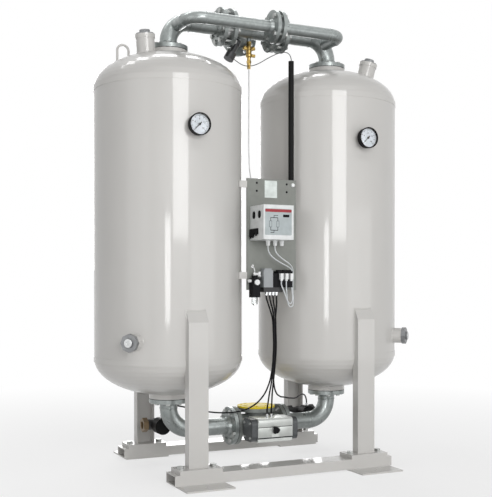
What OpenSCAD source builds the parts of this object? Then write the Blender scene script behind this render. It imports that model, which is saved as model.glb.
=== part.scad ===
// Twin-tower desiccant air dryer, millimetres, floor at z = 0, front towards -Y

/* [Vessels] */
// Outside diameter of each vessel
vessel_d = 750; // [640:1:790]
// Distance between the two vessel axes
vessel_spacing = 930; // [880:1:1000]
// Height of the lower head seam above the floor
shell_z = 570; // [545:1:620]
// Height of the cylindrical shell between the seams
shell_h = 1356; // [1250:1:1500]
// Height of each dished head
head_h = 188; // [176:1:200]
// Wall of shell and heads
vessel_wall = 8; // [5:0.5:12]
// Width of the raised band at each seam
seam_w = 26; // [10:1:50]
// Height of the raised band above the shell
seam_proud = 2; // [1:0.5:4]

/* [Vessel nozzles] */
// Height of the top flange pad above the head
top_pad_h = 16; // [14:1:40]
// Height of the bottom flange pad below the head
bottom_pad_h = 16; // [14:1:30]
// Outside diameter of the fill necks
fill_d = 92; // [80:1:110]
// Height of the fill necks along their axis
fill_h = 84; // [70:1:120]
// Height of the threaded collar at the top of a fill neck
collar_h = 20; // [12:1:30]
// Bore of the fill necks
fill_bore_d = 70; // [50:1:76]
// Outside diameter of the drain necks
drain_d = 80; // [70:1:100]
// Bore of the drain necks
drain_bore_d = 58; // [40:1:64]
// How far the drain necks stand out of the shell
drain_h = 46; // [30:1:60]
// Height of the drain necks above the floor
drain_z = 670; // [640:1:800]
// Depth to which a plug goes into its neck
plug_in = 28; // [15:1:34]
// Rod diameter of the lifting eyes
eye_rod_d = 12; // [8:1:18]
// Width of the lifting eyes between rod centres
eye_w = 58; // [45:1:80]
// Height of the straight legs of the lifting eyes above the upper seam
eye_h = 182; // [170:1:200]

/* [Gauges] */
// Diameter of a gauge case
gauge_d = 106; // [90:1:130]
// Depth of a gauge case
gauge_depth = 34; // [28:1:45]
// Distance of the gauges below the upper seam
gauge_drop = 231; // [100:1:400]
// Diameter of the gauge stem
gauge_stem_d = 18; // [14:1:24]
// How far the gauge boss stands out of the shell
gauge_boss_h = 12; // [8:1:25]

/* [Frame] */
// Width of the channel legs
leg_w = 100; // [80:1:140]
// Depth of the channel legs
leg_depth = 50; // [44:1:70]
// Wall of the channel legs
leg_wall = 6; // [4:0.5:10]
// How far a leg's web stands in front of the shell
leg_proud = 33; // [25:1:42]
// Height of the leg's front edge above the floor
leg_top_z = 765; // [720:1:850]
// Width of the leg base plates
base_plate_w = 215; // [190:1:240]
// Thickness of the leg base plates
base_plate_t = 20; // [12:1:30]
// Depth of the base beams
beam_w = 120; // [100:1:150]
// Height of the base beams
beam_h = 50; // [44:1:80]
// Wall of the base beams
beam_wall = 5; // [3:0.5:8]
// How far a base beam reaches past a vessel axis
beam_over = 132; // [125:1:235]
// Length of a foot plate along the beam
foot_len = 240; // [160:1:260]
// How far a foot plate reaches past its beam
foot_reach = 120; // [80:1:160]
// Thickness of the foot plates
foot_t = 8; // [6:1:15]
// Diameter of the floor anchor holes
anchor_d = 18; // [12:1:24]
// Diameter of the leg bolts
leg_bolt_d = 20; // [12:1:24]

/* [Pipework] */
// Outside diameter of the main pipe
pipe_d = 88.9; // [80:0.1:92]
// Wall of the pipes
pipe_wall = 3.2; // [2:0.1:6]
// Centre-line radius of the main elbows
elbow_r = 114.3; // [100:0.1:125]
// Outside diameter of the main flanges
flange_d = 200; // [196:1:210]
// Thickness of the main flanges
flange_t = 20; // [16:1:26]
// Bolt circle of the main flanges
flange_pcd = 160; // [150:1:165]
// Bolt holes in each main flange
flange_holes = 8; // [4:4:8]
// Diameter of the flange bolt holes
flange_hole_d = 18; // [17:0.5:20]
// Diameter of the flange bolts
flange_bolt_d = 16; // [12:1:16]
// Thickness of the gaskets
gasket_t = 3; // [1:0.5:5]
// Length of the weld neck at the top of a vessel
top_neck = 23; // [10:1:40]
// Length of the weld neck at the bottom of a vessel
bottom_neck = 29; // [15:1:40]
// Distance of each check valve from the middle
check_x = 150; // [140:1:165]
// Face to face length of the check valves
check_t = 36; // [32:1:42]
// Opening travel of the check-valve discs
check_travel = 10; // [6:1:12]
// Distance of the outlet face behind the vessel axes
outlet_y = 160; // [150:1:220]

/* [Purge line] */
// Outside diameter of the purge pipe
purge_d = 60.3; // [42:0.1:64]
// Centre-line radius of the purge elbows
purge_elbow_r = 76.2; // [60:0.1:90]
// Distance of the purge line in front of the vessel axes
purge_y = 225; // [210:1:260]
// Outside diameter of the purge flanges
purge_flange_d = 165; // [155:1:175]
// Bolt circle of the purge flanges
purge_pcd = 125; // [115:1:130]
// Thickness of the purge flanges
purge_flange_t = 18; // [14:1:24]
// Thickness of the orifice plate between the purge flanges
orifice_t = 16; // [6:1:24]
// Bore of the purge orifice
orifice_d = 9; // [4:0.5:20]
// Place of the purge flanges along the line
purge_x = 35; // [0:1:80]

/* [Changeover valve] */
// Place of the changeover valve along the bottom line
valve_x = 32; // [0:1:50]
// Face to face length of the valve
valve_len = 280; // [270:1:300]
// Height of the inlet face above the bottom line
inlet_h = 92; // [90:1:130]
// Diameter of the valve ball
ball_d = 118; // [112:1:122]
// Bore of the valve and its ball
ball_bore_d = 76; // [60:1:80]
// Diameter of the valve stem
stem_d = 28; // [20:1:30]
// Thickness of the inlet cover
cover_t = 9; // [5:1:15]

/* [Actuator] */
// Length of the actuator body between its caps
act_len = 197; // [185:1:230]
// Depth of the actuator body
act_depth = 115; // [110:1:140]
// Height of the actuator body
act_h = 120; // [110:1:140]
// Thickness of each end cap
act_cap_t = 32; // [15:1:40]
// Bore of the actuator cylinder
act_bore_d = 84; // [80:1:96]
// Gap between the inlet flange and the actuator
act_gap = 15; // [10:1:30]
// Radius of the actuator pinion
pinion_r = 14; // [10:0.5:14]

/* [Exhaust valves] */
// Distance of the left exhaust valve from the middle
exhaust_left_x = 452; // [430:1:480]
// Distance of the right exhaust valve from the middle
exhaust_right_x = 420; // [405:1:460]
// Height of the right exhaust valve above the bottom line
exhaust_right_rise = 16; // [0:1:18]
// Distance of the exhaust valves behind the vessel axes
exhaust_y = 215; // [200:1:250]
// Outside diameter of the exhaust pipe
exhaust_pipe_d = 48.3; // [42:0.1:50]
// Centre-line radius of the exhaust elbows
exhaust_elbow_r = 57; // [50:1:70]
// Length of an exhaust valve body
exhaust_len = 164; // [150:1:190]
// Diameter of an exhaust valve head
exhaust_head_d = 86; // [78:1:95]
// Travel of an exhaust plunger
exhaust_travel = 38; // [30:1:40]

/* [Control panel] */
// Width of the panel
panel_w = 278; // [270:1:300]
// Height of the panel
panel_h = 561; // [540:1:620]
// Height of the panel's lower edge above the floor
panel_z = 917; // [860:1:940]
// Distance of the panel's front in front of the vessel axes
panel_y = 250; // [248:1:290]
// Thickness of the panel sheet
panel_t = 2; // [1:0.5:4]
// Width of the controller
ctrl_w = 166; // [150:1:180]
// Height of the controller
ctrl_h = 170; // [150:1:190]
// Depth of the controller base
ctrl_base_d = 72; // [60:1:90]
// Depth of the controller lid
ctrl_lid_d = 78; // [50:1:90]
// Wall of the controller case
ctrl_wall = 3; // [2:0.5:5]
// Diameter of the black air tubes
tube_d = 8; // [6:1:10]
// Outside diameter of the conduit
conduit_d = 28; // [20:1:36]
// Height of the conduit's top above the floor
conduit_top_z = 2090; // [1900:1:2120]

/* [Hidden] */
$fn = 96;

// Finishes
paint = "#c9c8c4";
zinc = "#98a09f";
steel = "#b7babb";
alloy = "#b9bdbd";
dark = "#3a3d40";
black = "#1b1c1d";
white = "#eceeee";
brass = "#b08a3e";
bronze = "#8c6f4c";
yellow = "#d8c21e";

// Clearances
fit_gap = 0.3;
run_gap = 0.05;
weld_gap = 0.3;
head_steps = 14;

// Derived places of the vessels
vessel_r = vessel_d / 2;
vessel_x = vessel_spacing / 2;
shell_top_z = shell_z + shell_h;
head_top_z = shell_top_z + head_h;
head_bottom_z = shell_z - head_h;
top_face_z = head_top_z + top_pad_h;
bottom_face_z = head_bottom_z - bottom_pad_h;
bed_r = vessel_r - vessel_wall - fit_gap;
screen_t = 10;
bed_top_gap = 60;
tapped_d = flange_bolt_d - 2;
tapped_depth = 24;
pad_root = 45;
gauge_back_y = vessel_r + gauge_boss_h + 13;
gauge_z = shell_top_z - gauge_drop;
eye_r = 240;
drain_angle = 45;
fill_left = [175, 211, 6];
fill_right = [211, -28, 14];

// Derived places of the frame
leg_web_y = vessel_r + leg_proud;
beam_y = leg_web_y - leg_depth / 2;
beam_top_z = foot_t + beam_h;
beam_len = 2 * (vessel_x + beam_over);
leg_z = beam_top_z + base_plate_t;
leg_slope = 1.6;
leg_bolt_x = base_plate_w / 2 - 24;
leg_bolt_hole_d = leg_bolt_d + 2;
anchor_y = beam_y + beam_w / 2 + foot_reach / 2;

// Derived places of the lines
pipe_bore_d = pipe_d - 2 * pipe_wall;
purge_bore_d = purge_d - 2 * pipe_wall;
exhaust_bore_d = exhaust_pipe_d - 2 * pipe_wall;
top_flange_z = top_face_z + gasket_t;
top_bend_z = top_flange_z + flange_t + top_neck;
top_z = top_bend_z + elbow_r;
bottom_flange_z = bottom_face_z - gasket_t;
bottom_bend_z = bottom_flange_z - flange_t - bottom_neck;
bottom_z = bottom_bend_z - elbow_r;
bend_x = vessel_x - elbow_r;
mid_bend = elbow_r * sqrt(0.5);
purge_z = top_bend_z + mid_bend;
purge_end_x = bend_x + mid_bend;
check_out_x = check_x + check_t / 2;
check_in_x = check_x - check_t / 2;
hub_extra = 16;
hub_t = 16;
flange_phase = 180 / flange_holes;

// Derived places of the changeover valve and its actuator
inlet_face_z = bottom_z + inlet_h;
ball_r = ball_d / 2;
seat_d = 100;
seat_out = ball_r + 5;
seat_in = ball_r - 11;
act_back_y = flange_d / 2 + act_gap;
act_mid_y = act_back_y + act_depth / 2;
act_front_y = act_back_y + act_depth;
act_lip = 20;
journal_d = 2 * pinion_r + 2;
piston_t = 18;
piston_rest = act_len / 2 - piston_t - 2;
piston_arm = 25;
rack_h = 18;
rack_w = 40;

// Derived places of the exhaust valves
exhaust_bore = 40;
plunger_d = 44;
exhaust_neck_d = 58;
exhaust_neck_y = exhaust_y - 35;
exhaust_head_wall = 8;
exhaust_piston_t = 14;
exhaust_head_h = exhaust_travel + exhaust_piston_t + 2 * exhaust_head_wall + 7;
exhaust_hex = 66;

// Derived places of the panel
panel_top_z = panel_z + panel_h;
panel_flange = 10;
plate_w = 70;
plate_h = 86;
plate_drop = 8;
plate_gap = 49;
tab_h = 34;
tab_in = 14;
tab_t = 4;
ctrl_x = -38;
ctrl_z = panel_top_z - plate_drop - plate_h - plate_gap - ctrl_h;
ctrl_front_y = panel_y + ctrl_base_d + ctrl_lid_d;
ctrl_split_y = panel_y + ctrl_base_d;
gland_x = [-46, -7, 31];
gland_used = [true, true, false];
gland_y = panel_y + 50;
gland_d = 22;
gland_h = 26;
cable_d = 6;
terminal_z = panel_z + 13;
terminal_d = 50;
terminal_x = -70;
terminal_w = 52;
terminal_h = 76;
valve_block_w = 24;
coil_x = terminal_x + terminal_w + valve_block_w + 3;
coil_w = 26;
coil_pitch = 28;
coil_h = 82;
plug_w = 16;
plug_d = 18;
plug_y = panel_y + terminal_d + 13;
plug_z = terminal_z + 32;
function plug_x(i) = coil_x + coil_w / 2 + i * coil_pitch;
fitting_x = [-46, -27, -8, 11];
fitting_y = panel_y + 30;
fitting_d = 14;
fitting_h = 16;
regulator_x = -108;
regulator_w = 40;
regulator_h = 95;
regulator_d = 48;
regulator_z = panel_z - 37;
bowl_d = 32;
reg_gauge_d = 27;
conduit_x = panel_w / 2 - panel_t - conduit_d / 2 - 4;
conduit_y = panel_y - panel_t - conduit_d / 2 - fit_gap;
wire_d = 4;
pilot_d = 6;
pilot_len = 144;
pilot_x = -10;
socket_d = 26;
socket_h = 14;
pilot_top_z = top_z - pipe_d / 2 - socket_h;
sensor_x = -30;
sensor_y = 20;
sensor_lean = 30;
sensor_start = pipe_d / 2 + 18;
sensor_len = 120;
sensor_end = sensor_start + sensor_len;
function sensor_at(along) = [
    sensor_x - along * sin(sensor_lean), sensor_y, top_z - along * cos(sensor_lean)
];
function sensor_side(out) = sensor_at(sensor_end - 20) + out * [cos(sensor_lean), 0, -sin(sensor_lean)];
pilot_hole_z = panel_z + 119;
regulator_port_z = regulator_z + regulator_h + 15;
act_port_x = valve_x - 20;
act_port_pitch = 24;

// Ends of the tubes in their fittings
terminal_end_z = terminal_z - 24 - fitting_h + 6;
act_end_z = bottom_z + act_h / 2 + 8;
exhaust_end_y = exhaust_neck_y - exhaust_head_h / 2;
exhaust_end_z = bottom_z + exhaust_head_d / 2 + 7;

// Routes of the tubes and cables
pilot_route = [
    [pilot_x, 0, pilot_top_z - pilot_len + 10], [pilot_x, 0, pilot_top_z - pilot_len - 12], [-10, 0, 2000],
    [-11, -2, 1880], [-12, -2, 1760], [-12, -4, 1640], [-14, -20, 1540], [-24, -70, 1460],
    [-50, -130, 1380], [-80, -180, 1290], [-98, -206, 1200], [-106, -214, 1120], [-108, -218, 1080],
    [-108, -224, 1058], [-108, -236, 1042], [regulator_x, -panel_y - 4, pilot_hole_z - 1],
    [regulator_x, -panel_y - 18, pilot_hole_z - 14], [regulator_x, -panel_y - 24, regulator_port_z + 12],
    [regulator_x, -panel_y - 24, regulator_port_z - 6]
];
sensor_route = [
    sensor_side(17), sensor_side(30), sensor_side(44), [-52, 22, 2117.5], [-34, 23.5, 2112],
    [-14, 24, 2109.5], [8, 21.5, 2111], [30, 12, 2116], [50, -10, 2125], [66, -42, 2136],
    [82, -84, 2146], [97, -136, 2151.5], [109, -184, 2147], [116.5, -216, 2130],
    [conduit_x, -conduit_y, conduit_top_z + 12], [conduit_x, -conduit_y, conduit_top_z - 8]
];
act_left_route = [
    [fitting_x[1], -fitting_y, terminal_end_z], [fitting_x[1], -fitting_y, terminal_end_z - 16],
    [-22, -279, 856], [-8, -274, 820], [5, -264, 770], [9, -260, 710], [11, -260, 640], [9, -258, 570],
    [4, -254, 500], [-2, -248, 440], [-4, -232, 390], [2, -208, 350], [8, -186, 318],
    [act_port_x, -act_mid_y, act_end_z + 20], [act_port_x, -act_mid_y, act_end_z]
];
act_right_route = [
    [fitting_x[2], -fitting_y, terminal_end_z], [fitting_x[2], -fitting_y, terminal_end_z - 16],
    [-5, -279, 856], [4, -274, 820], [14, -265, 770], [18, -260, 710], [20, -260, 640], [18, -258, 570],
    [13, -254, 500], [9, -248, 440], [12, -232, 390], [22, -208, 350], [32, -186, 318],
    [act_port_x + act_port_pitch, -act_mid_y, act_end_z + 20],
    [act_port_x + act_port_pitch, -act_mid_y, act_end_z]
];
exh_left_route = [
    [fitting_x[0], -fitting_y, terminal_end_z], [fitting_x[0], -fitting_y, terminal_end_z - 16],
    [-38, -278, 856], [-20, -268, 820], [2, -254, 770], [8, -251, 710], [10, -251, 640], [8, -249, 570],
    [2, -245, 500], [-14, -240, 432], [-46, -230, 370], [-96, -212, 324], [-150, -170, 298],
    [-208, -110, 287], [-260, -40, 286], [-310, 30, 292], [-370, 88, 306], [-414, 120, 308],
    [-438, 134, 298], [-449, 141, 280], [-exhaust_left_x, exhaust_end_y, exhaust_end_z + 14],
    [-exhaust_left_x, exhaust_end_y, exhaust_end_z]
];
exh_right_route = [
    [fitting_x[3], -fitting_y, terminal_end_z], [fitting_x[3], -fitting_y, terminal_end_z - 16],
    [13, -278, 856], [16, -268, 820], [18, -256, 770], [18, -251, 710], [20, -251, 640], [18, -249, 570],
    [14, -245, 500], [18, -238, 440], [38, -220, 394], [80, -180, 366], [140, -120, 350],
    [210, -50, 334], [290, 30, 322], [346, 88, 326], [388, 122, 326], [408, 136, 314], [417, 141, 296],
    [exhaust_right_x, exhaust_end_y, exhaust_end_z + exhaust_right_rise + 14],
    [exhaust_right_x, exhaust_end_y, exhaust_end_z + exhaust_right_rise]
];
cable_a_route = [
    [gland_x[0], -gland_y, ctrl_z - gland_h + 10], [gland_x[0], -gland_y, ctrl_z - gland_h - 16],
    [-38, -301, 1100], [-14, -303, 1076], [16, -303, 1058], [46, -300, 1044], [78, -292, 1030],
    [96, -284, 1016], [101, -277, 986], [101, -274, 946], [100, -280, 910], [96, -294, 880],
    [86, -306, 858], [72, -313, 848], [58, -316, 858], [46, -316, 884], [34, -314, 916],
    [plug_x(0), -plug_y, plug_z - 16], [plug_x(0), -plug_y, plug_z]
];
cable_b_route = [
    [gland_x[1], -gland_y, ctrl_z - gland_h + 10], [gland_x[1], -gland_y, ctrl_z - gland_h - 16],
    [0, -301, 1104], [20, -302, 1084], [48, -300, 1066], [76, -294, 1050], [98, -284, 1032],
    [109, -275, 1002], [111, -268, 962], [111, -268, 922], [109, -276, 884], [102, -290, 852],
    [90, -302, 836], [74, -308, 832], [62, -310, 848], [56, -311, 880], [52, -312, 914],
    [plug_x(1), -plug_y, plug_z - 16], [plug_x(1), -plug_y, plug_z]
];

// Six-sided head or nut by its width across flats
module hex(af, h) {
    cylinder(d = af / cos(30), h = h, $fn = 6);
}

// Screw with its head below z = 0
module screw(d, length) {
    translate([0, 0, -0.6 * d]) hex(1.5 * d, 0.6 * d);
    cylinder(d = d, h = length);
}

// Bolt with its head below z = 0 and its nut beyond the grip
module bolt(d, grip) {
    screw(d, grip + d);
    translate([0, 0, grip]) hex(1.5 * d, 0.8 * d);
}

// Copies its child around z on a bolt circle
module around(pcd, count, phase = 0) {
    for (i = [0:count - 1]) {
        rotate([0, 0, phase + 360 * i / count]) translate([pcd / 2, 0, 0]) children();
    }
}

// Turns +Z into +X
module along_x() {
    rotate([0, 90, 0]) children();
}

// Turns +Z into -Y
module along_front() {
    rotate([90, 0, 0]) children();
}

// Turns +Z into +Y
module along_back() {
    rotate([-90, 0, 0]) children();
}

// Same thing on the left and on the right
module both_sides() {
    for (side = [-1, 1]) {
        translate([side * vessel_x, 0, 0]) children();
    }
}

// Quarter bend that starts along +Z and ends along +X
module bend(d, r) {
    translate([r, 0, 0])
        mirror([1, 0, 0]) rotate([90, 0, 0]) rotate_extrude(angle = 90) translate([r, 0]) circle(d = d);
}

// Drilled flange plate, with its weld hub on the far side
module flange(d, t, pcd, holes, pipe, hub) {
    difference() {
        cylinder(d = d, h = t);
        around(pcd, holes, 180 / holes) translate([0, 0, -1]) cylinder(d = flange_hole_d, h = t + 2);
    }
    translate([0, 0, t]) cylinder(d1 = pipe + hub_extra, d2 = pipe, h = hub);
}

module main_flange(hub = hub_t) {
    flange(flange_d, flange_t, flange_pcd, flange_holes, pipe_d, hub);
}

module purge_flange() {
    flange(purge_flange_d, purge_flange_t, purge_pcd, 4, purge_d, hub_t);
}

// Outline of a vessel, from its lowest point round to its highest
function vessel_outline(r, h) = concat(
    [for (i = [head_steps:-1:0]) [r * cos(90 * i / head_steps), shell_z - h * sin(90 * i / head_steps)]],
    [for (i = [0:head_steps]) [r * cos(90 * i / head_steps), shell_top_z + h * sin(90 * i / head_steps)]]
);

module vessel_solid(gap) {
    rotate_extrude() polygon(vessel_outline(vessel_r + gap, head_h + gap));
}

// Height of the upper head's surface at a distance from the axis
function dome_z(r) = shell_top_z + head_h * sqrt(1 - pow(r / vessel_r, 2));

// Seat of a fill neck: distance from the axis, direction and outward tilt
module on_dome(place) {
    rotate([0, 0, place[1]]) translate([place[0], 0, dome_z(place[0])]) rotate([0, place[2], 0]) children();
}

// Seat of a drain neck on the shell
module on_drain(angle) {
    rotate([0, 0, angle]) translate([vessel_r, 0, drain_z]) along_x() children();
}

module lifting_eye() {
    for (x = [-eye_w / 2, eye_w / 2]) {
        translate([eye_r + x, 0, shell_top_z + eye_h - 70]) cylinder(d = eye_rod_d, h = 70);
    }
    translate([eye_r, 0, shell_top_z + eye_h])
        rotate([90, 0, 0]) rotate_extrude(angle = 180) translate([eye_w / 2, 0]) circle(d = eye_rod_d);
}

module pad_holes() {
    around(flange_pcd, flange_holes, flange_phase) cylinder(d = tapped_d, h = tapped_depth + 1);
}

module vessel(fill, drain, eye) {
    difference() {
        union() {
            vessel_solid(0);
            for (z = [shell_z, shell_top_z]) {
                translate([0, 0, z - seam_w / 2]) cylinder(r = vessel_r + seam_proud, h = seam_w);
            }
            translate([0, 0, head_top_z - pad_root]) cylinder(d = flange_d, h = pad_root + top_pad_h);
            translate([0, 0, bottom_face_z]) cylinder(d = flange_d, h = pad_root + bottom_pad_h);
            on_dome(fill) translate([0, 0, -40]) cylinder(d = fill_d, h = 40 + fill_h);
            on_dome(fill) translate([0, 0, fill_h - collar_h]) cylinder(d = fill_d + 6, h = collar_h);
            on_drain(drain) translate([0, 0, -30]) cylinder(d = drain_d, h = 30 + drain_h);
            translate([0, -vessel_r + 20, gauge_z]) along_front() cylinder(d = 40, h = 20 + gauge_boss_h);
            rotate([0, 0, eye]) lifting_eye();
        }
        rotate_extrude() polygon(vessel_outline(vessel_r - vessel_wall, head_h - vessel_wall));
        translate([0, 0, bottom_face_z - 1]) cylinder(d = pipe_bore_d, h = top_face_z - bottom_face_z + 2);
        translate([0, 0, top_face_z - tapped_depth]) pad_holes();
        translate([0, 0, bottom_face_z - 1]) pad_holes();
        on_dome(fill) translate([0, 0, -80]) cylinder(d = fill_bore_d, h = 81 + fill_h);
        on_drain(drain) translate([0, 0, -60]) cylinder(d = drain_bore_d, h = 61 + drain_h);
        translate([0, -vessel_r + 40, gauge_z])
            along_front() cylinder(d = gauge_stem_d + 2 * fit_gap, h = 41 + gauge_boss_h);
    }
}

module vessel_left() {
    color(paint) translate([-vessel_x, 0, 0]) vessel(fill_left, 180 + drain_angle, 180);
}

module vessel_right() {
    color(paint) translate([vessel_x, 0, 0]) vessel(fill_right, -drain_angle, 0);
}

// Beds of desiccant between their screens
module desiccant_beds() {
    color("#d9d2c2") both_sides() translate([0, 0, shell_z + screen_t])
        cylinder(r = bed_r, h = shell_h - bed_top_gap - screen_t);
}

module bed_screens() {
    color(steel) both_sides() for (z = [shell_z, shell_top_z - bed_top_gap]) {
        translate([0, 0, z]) difference() {
            cylinder(r = bed_r, h = screen_t);
            for (ring = [1:4]) {
                around(ring * 150, 6 * ring) translate([0, 0, -1]) cylinder(d = 30, h = screen_t + 2);
            }
        }
    }
}

// Plugs that close the fill and drain necks, seated on the end of the neck
fill_cap_in = 4;
fill_cap_t = 5;
fill_nut_d = 52;
plug_nut_h = 22;
drain_nut_over = 8;
drain_boss_d = 44;
drain_boss_h = 30;

module fill_plug() {
    translate([0, 0, -plug_in]) cylinder(d = fill_bore_d - 2 * fit_gap, h = plug_in);
    cylinder(d = fill_d - fill_cap_in, h = fill_cap_t);
    cylinder(d = fill_nut_d, h = plug_nut_h, $fn = 8);
}

module drain_plug() {
    translate([0, 0, -plug_in]) cylinder(d = drain_bore_d - 2 * fit_gap, h = plug_in);
    cylinder(d = drain_d + drain_nut_over, h = plug_nut_h, $fn = 8);
    cylinder(d = drain_boss_d, h = drain_boss_h);
}

module nozzle_plugs() {
    color(paint) {
        translate([-vessel_x, 0, 0]) on_dome(fill_left) translate([0, 0, fill_h]) fill_plug();
        translate([vessel_x, 0, 0]) on_dome(fill_right) translate([0, 0, fill_h]) fill_plug();
        translate([-vessel_x, 0, 0]) on_drain(180 + drain_angle) translate([0, 0, drain_h]) drain_plug();
        translate([vessel_x, 0, 0]) on_drain(-drain_angle) translate([0, 0, drain_h]) drain_plug();
    }
}

// Channel leg in front of a vessel, cut to the shell, with a slanted top and a base plate
module leg_side(x, w, front, back, drop) {
    translate([x - w / 2, 0, 0]) rotate([90, 0, 90]) linear_extrude(w) polygon([
        [-front, leg_z], [-back, leg_z], [-back, leg_top_z - drop + leg_slope * (leg_web_y - back)],
        [-front, leg_top_z - drop + leg_slope * (leg_web_y - front)]
    ]);
}

module leg_top() {
    translate([-leg_w / 2, 0, 0]) rotate([90, 0, 90]) linear_extrude(leg_w) polygon([
        [-leg_web_y, leg_top_z - 2 * leg_wall], [-leg_web_y, leg_top_z],
        [-leg_web_y + leg_depth, leg_top_z + leg_slope * leg_depth],
        [-leg_web_y + leg_depth, leg_top_z + leg_slope * leg_depth - 2 * leg_wall]
    ]);
}

module leg() {
    difference() {
        union() {
            leg_side(0, leg_w, leg_web_y, leg_web_y - leg_wall, 0);
            leg_side(-leg_w / 2 + leg_wall / 2, leg_wall, leg_web_y, leg_web_y - leg_depth, 0);
            leg_side(leg_w / 2 - leg_wall / 2, leg_wall, leg_web_y, leg_web_y - leg_depth, 0);
            leg_top();
        }
        vessel_solid(weld_gap);
        translate([0, 0, shell_z - seam_w / 2 - weld_gap])
            cylinder(r = vessel_r + seam_proud + weld_gap, h = seam_w + 2 * weld_gap);
    }
    difference() {
        translate([-base_plate_w / 2, -beam_y - beam_w / 2, beam_top_z])
            cube([base_plate_w, beam_w, base_plate_t]);
        for (x = [-leg_bolt_x, leg_bolt_x]) {
            translate([x, -beam_y, beam_top_z - 1]) cylinder(d = leg_bolt_hole_d, h = base_plate_t + 2);
        }
    }
}

module legs() {
    color(paint) both_sides() for (back = [0, 1]) {
        mirror([0, back, 0]) leg();
    }
}

// Hollow beam on its two foot plates
module base_beam() {
    difference() {
        union() {
            translate([-beam_len / 2, -beam_y - beam_w / 2, foot_t]) cube([beam_len, beam_w, beam_h]);
            both_sides() translate([-foot_len / 2, -beam_y - beam_w / 2 - foot_reach, 0])
                cube([foot_len, beam_w + foot_reach, foot_t]);
        }
        translate([-beam_len / 2 - 1, -beam_y - beam_w / 2 + beam_wall, foot_t + beam_wall])
            cube([beam_len + 2, beam_w - 2 * beam_wall, beam_h - 2 * beam_wall]);
        both_sides() translate([0, -anchor_y, -1]) cylinder(d = anchor_d, h = foot_t + 2);
        both_sides() for (x = [-leg_bolt_x, leg_bolt_x]) {
            translate([x, -beam_y, beam_top_z - beam_wall - 1])
                cylinder(d = leg_bolt_hole_d, h = beam_wall + 2);
        }
    }
}

module base_beams() {
    color(paint) for (back = [0, 1]) {
        mirror([0, back, 0]) base_beam();
    }
}

module leg_bolts() {
    color(steel) both_sides() for (y = [-beam_y, beam_y], x = [-leg_bolt_x, leg_bolt_x]) {
        translate([x, y, leg_z]) mirror([0, 0, 1]) bolt(leg_bolt_d, base_plate_t + beam_wall);
    }
}

// Pressure gauges in front of the vessels, built along +Z and turned to the front
gauge_cup = 18;
dial_t = 1.5;
glass_t = 3;
needle_gap = 4;
needle_pin_d = 5;

module at_gauges() {
    both_sides() translate([0, -gauge_back_y, gauge_z]) along_front() children();
}

module gauge_cases() {
    color(black) at_gauges() difference() {
        union() {
            cylinder(d = gauge_d - 4, h = gauge_depth);
            translate([0, 0, gauge_depth - 10]) cylinder(d = gauge_d, h = 10);
            translate([0, 0, -13]) cylinder(d = gauge_stem_d + 8, h = 13, $fn = 6);
            translate([0, 0, -13 - gauge_boss_h]) cylinder(d = gauge_stem_d, h = 20);
        }
        translate([0, 0, gauge_cup]) cylinder(d = gauge_d - 10, h = gauge_depth);
        translate([0, 0, gauge_depth - glass_t - 3]) cylinder(d = gauge_d - 6, h = glass_t + 4);
        translate([0, 0, gauge_cup - 4]) cylinder(d = needle_pin_d + 2 * run_gap, h = 5);
    }
}

module gauge_dials() {
    color(white) at_gauges() translate([0, 0, gauge_cup]) difference() {
        cylinder(d = gauge_d - 10 - 2 * fit_gap, h = dial_t);
        translate([0, 0, -1]) cylinder(d = needle_pin_d + 2, h = dial_t + 2);
    }
}

module gauge_glasses() {
    color("#dfe8ea", 0.4) at_gauges() translate([0, 0, gauge_depth - glass_t - 3])
        cylinder(d = gauge_d - 6 - 2 * fit_gap, h = glass_t);
}

// Needle at zero, down to the left
module gauge_needle() {
    translate([0, -gauge_back_y, gauge_z]) along_front() {
        translate([0, 0, gauge_cup - 4 + fit_gap]) cylinder(d = needle_pin_d, h = 4 + needle_gap);
        translate([0, 0, gauge_cup + dial_t + 1.5]) cylinder(d = 12, h = 3);
        rotate([0, 0, 225]) translate([0, 0, gauge_cup + dial_t + 1.8]) linear_extrude(1.6) polygon([
            [-14, -2.5], [-14, 2.5], [gauge_d / 2 - 17, 0.6], [gauge_d / 2 - 17, -0.6]
        ]);
    }
}

module gauge_needle_left() {
    color(black) translate([-vessel_x, 0, 0]) gauge_needle();
}

module gauge_needle_right() {
    color(black) translate([vessel_x, 0, 0]) gauge_needle();
}

// Welded spool on top of a vessel: riser, elbow, main pipe and half of the purge line
module top_main(d, extra) {
    translate([-vessel_x, 0, top_flange_z - extra]) cylinder(d = d, h = top_bend_z - top_flange_z + extra);
    translate([-vessel_x, 0, top_bend_z]) bend(d, elbow_r);
    translate([-bend_x, 0, top_z]) along_x() cylinder(d = d, h = bend_x - check_out_x + extra);
}

module top_purge(d, face_x, extra) {
    translate([-purge_end_x, -purge_y + purge_elbow_r, purge_z]) {
        along_back() cylinder(d = d, h = purge_y - purge_elbow_r);
        rotate([90, 0, 0]) bend(d, purge_elbow_r);
    }
    translate([-purge_end_x + purge_elbow_r, -purge_y, purge_z])
        along_x() cylinder(d = d, h = face_x + purge_end_x - purge_elbow_r + extra);
}

module top_spool(face_x) {
    difference() {
        union() {
            top_main(pipe_d, 0);
            top_purge(purge_d, face_x, 0);
            translate([-vessel_x, 0, top_flange_z]) main_flange(top_neck);
            translate([-check_out_x, 0, top_z]) rotate([0, -90, 0]) main_flange();
            translate([face_x, -purge_y, purge_z]) rotate([0, -90, 0]) purge_flange();
        }
        top_main(pipe_bore_d, 1);
        top_purge(purge_bore_d, face_x, 1);
    }
}

module top_spool_left() {
    color(zinc) top_spool(purge_x - orifice_t / 2);
}

module top_spool_right() {
    color(zinc) mirror([1, 0, 0]) top_spool(-purge_x - orifice_t / 2);
}

// Middle spool with the outlet at the back and two sockets below
module at_sensor(along) {
    translate(sensor_at(along)) rotate([0, 180 + sensor_lean, 0]) children();
}

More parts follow.
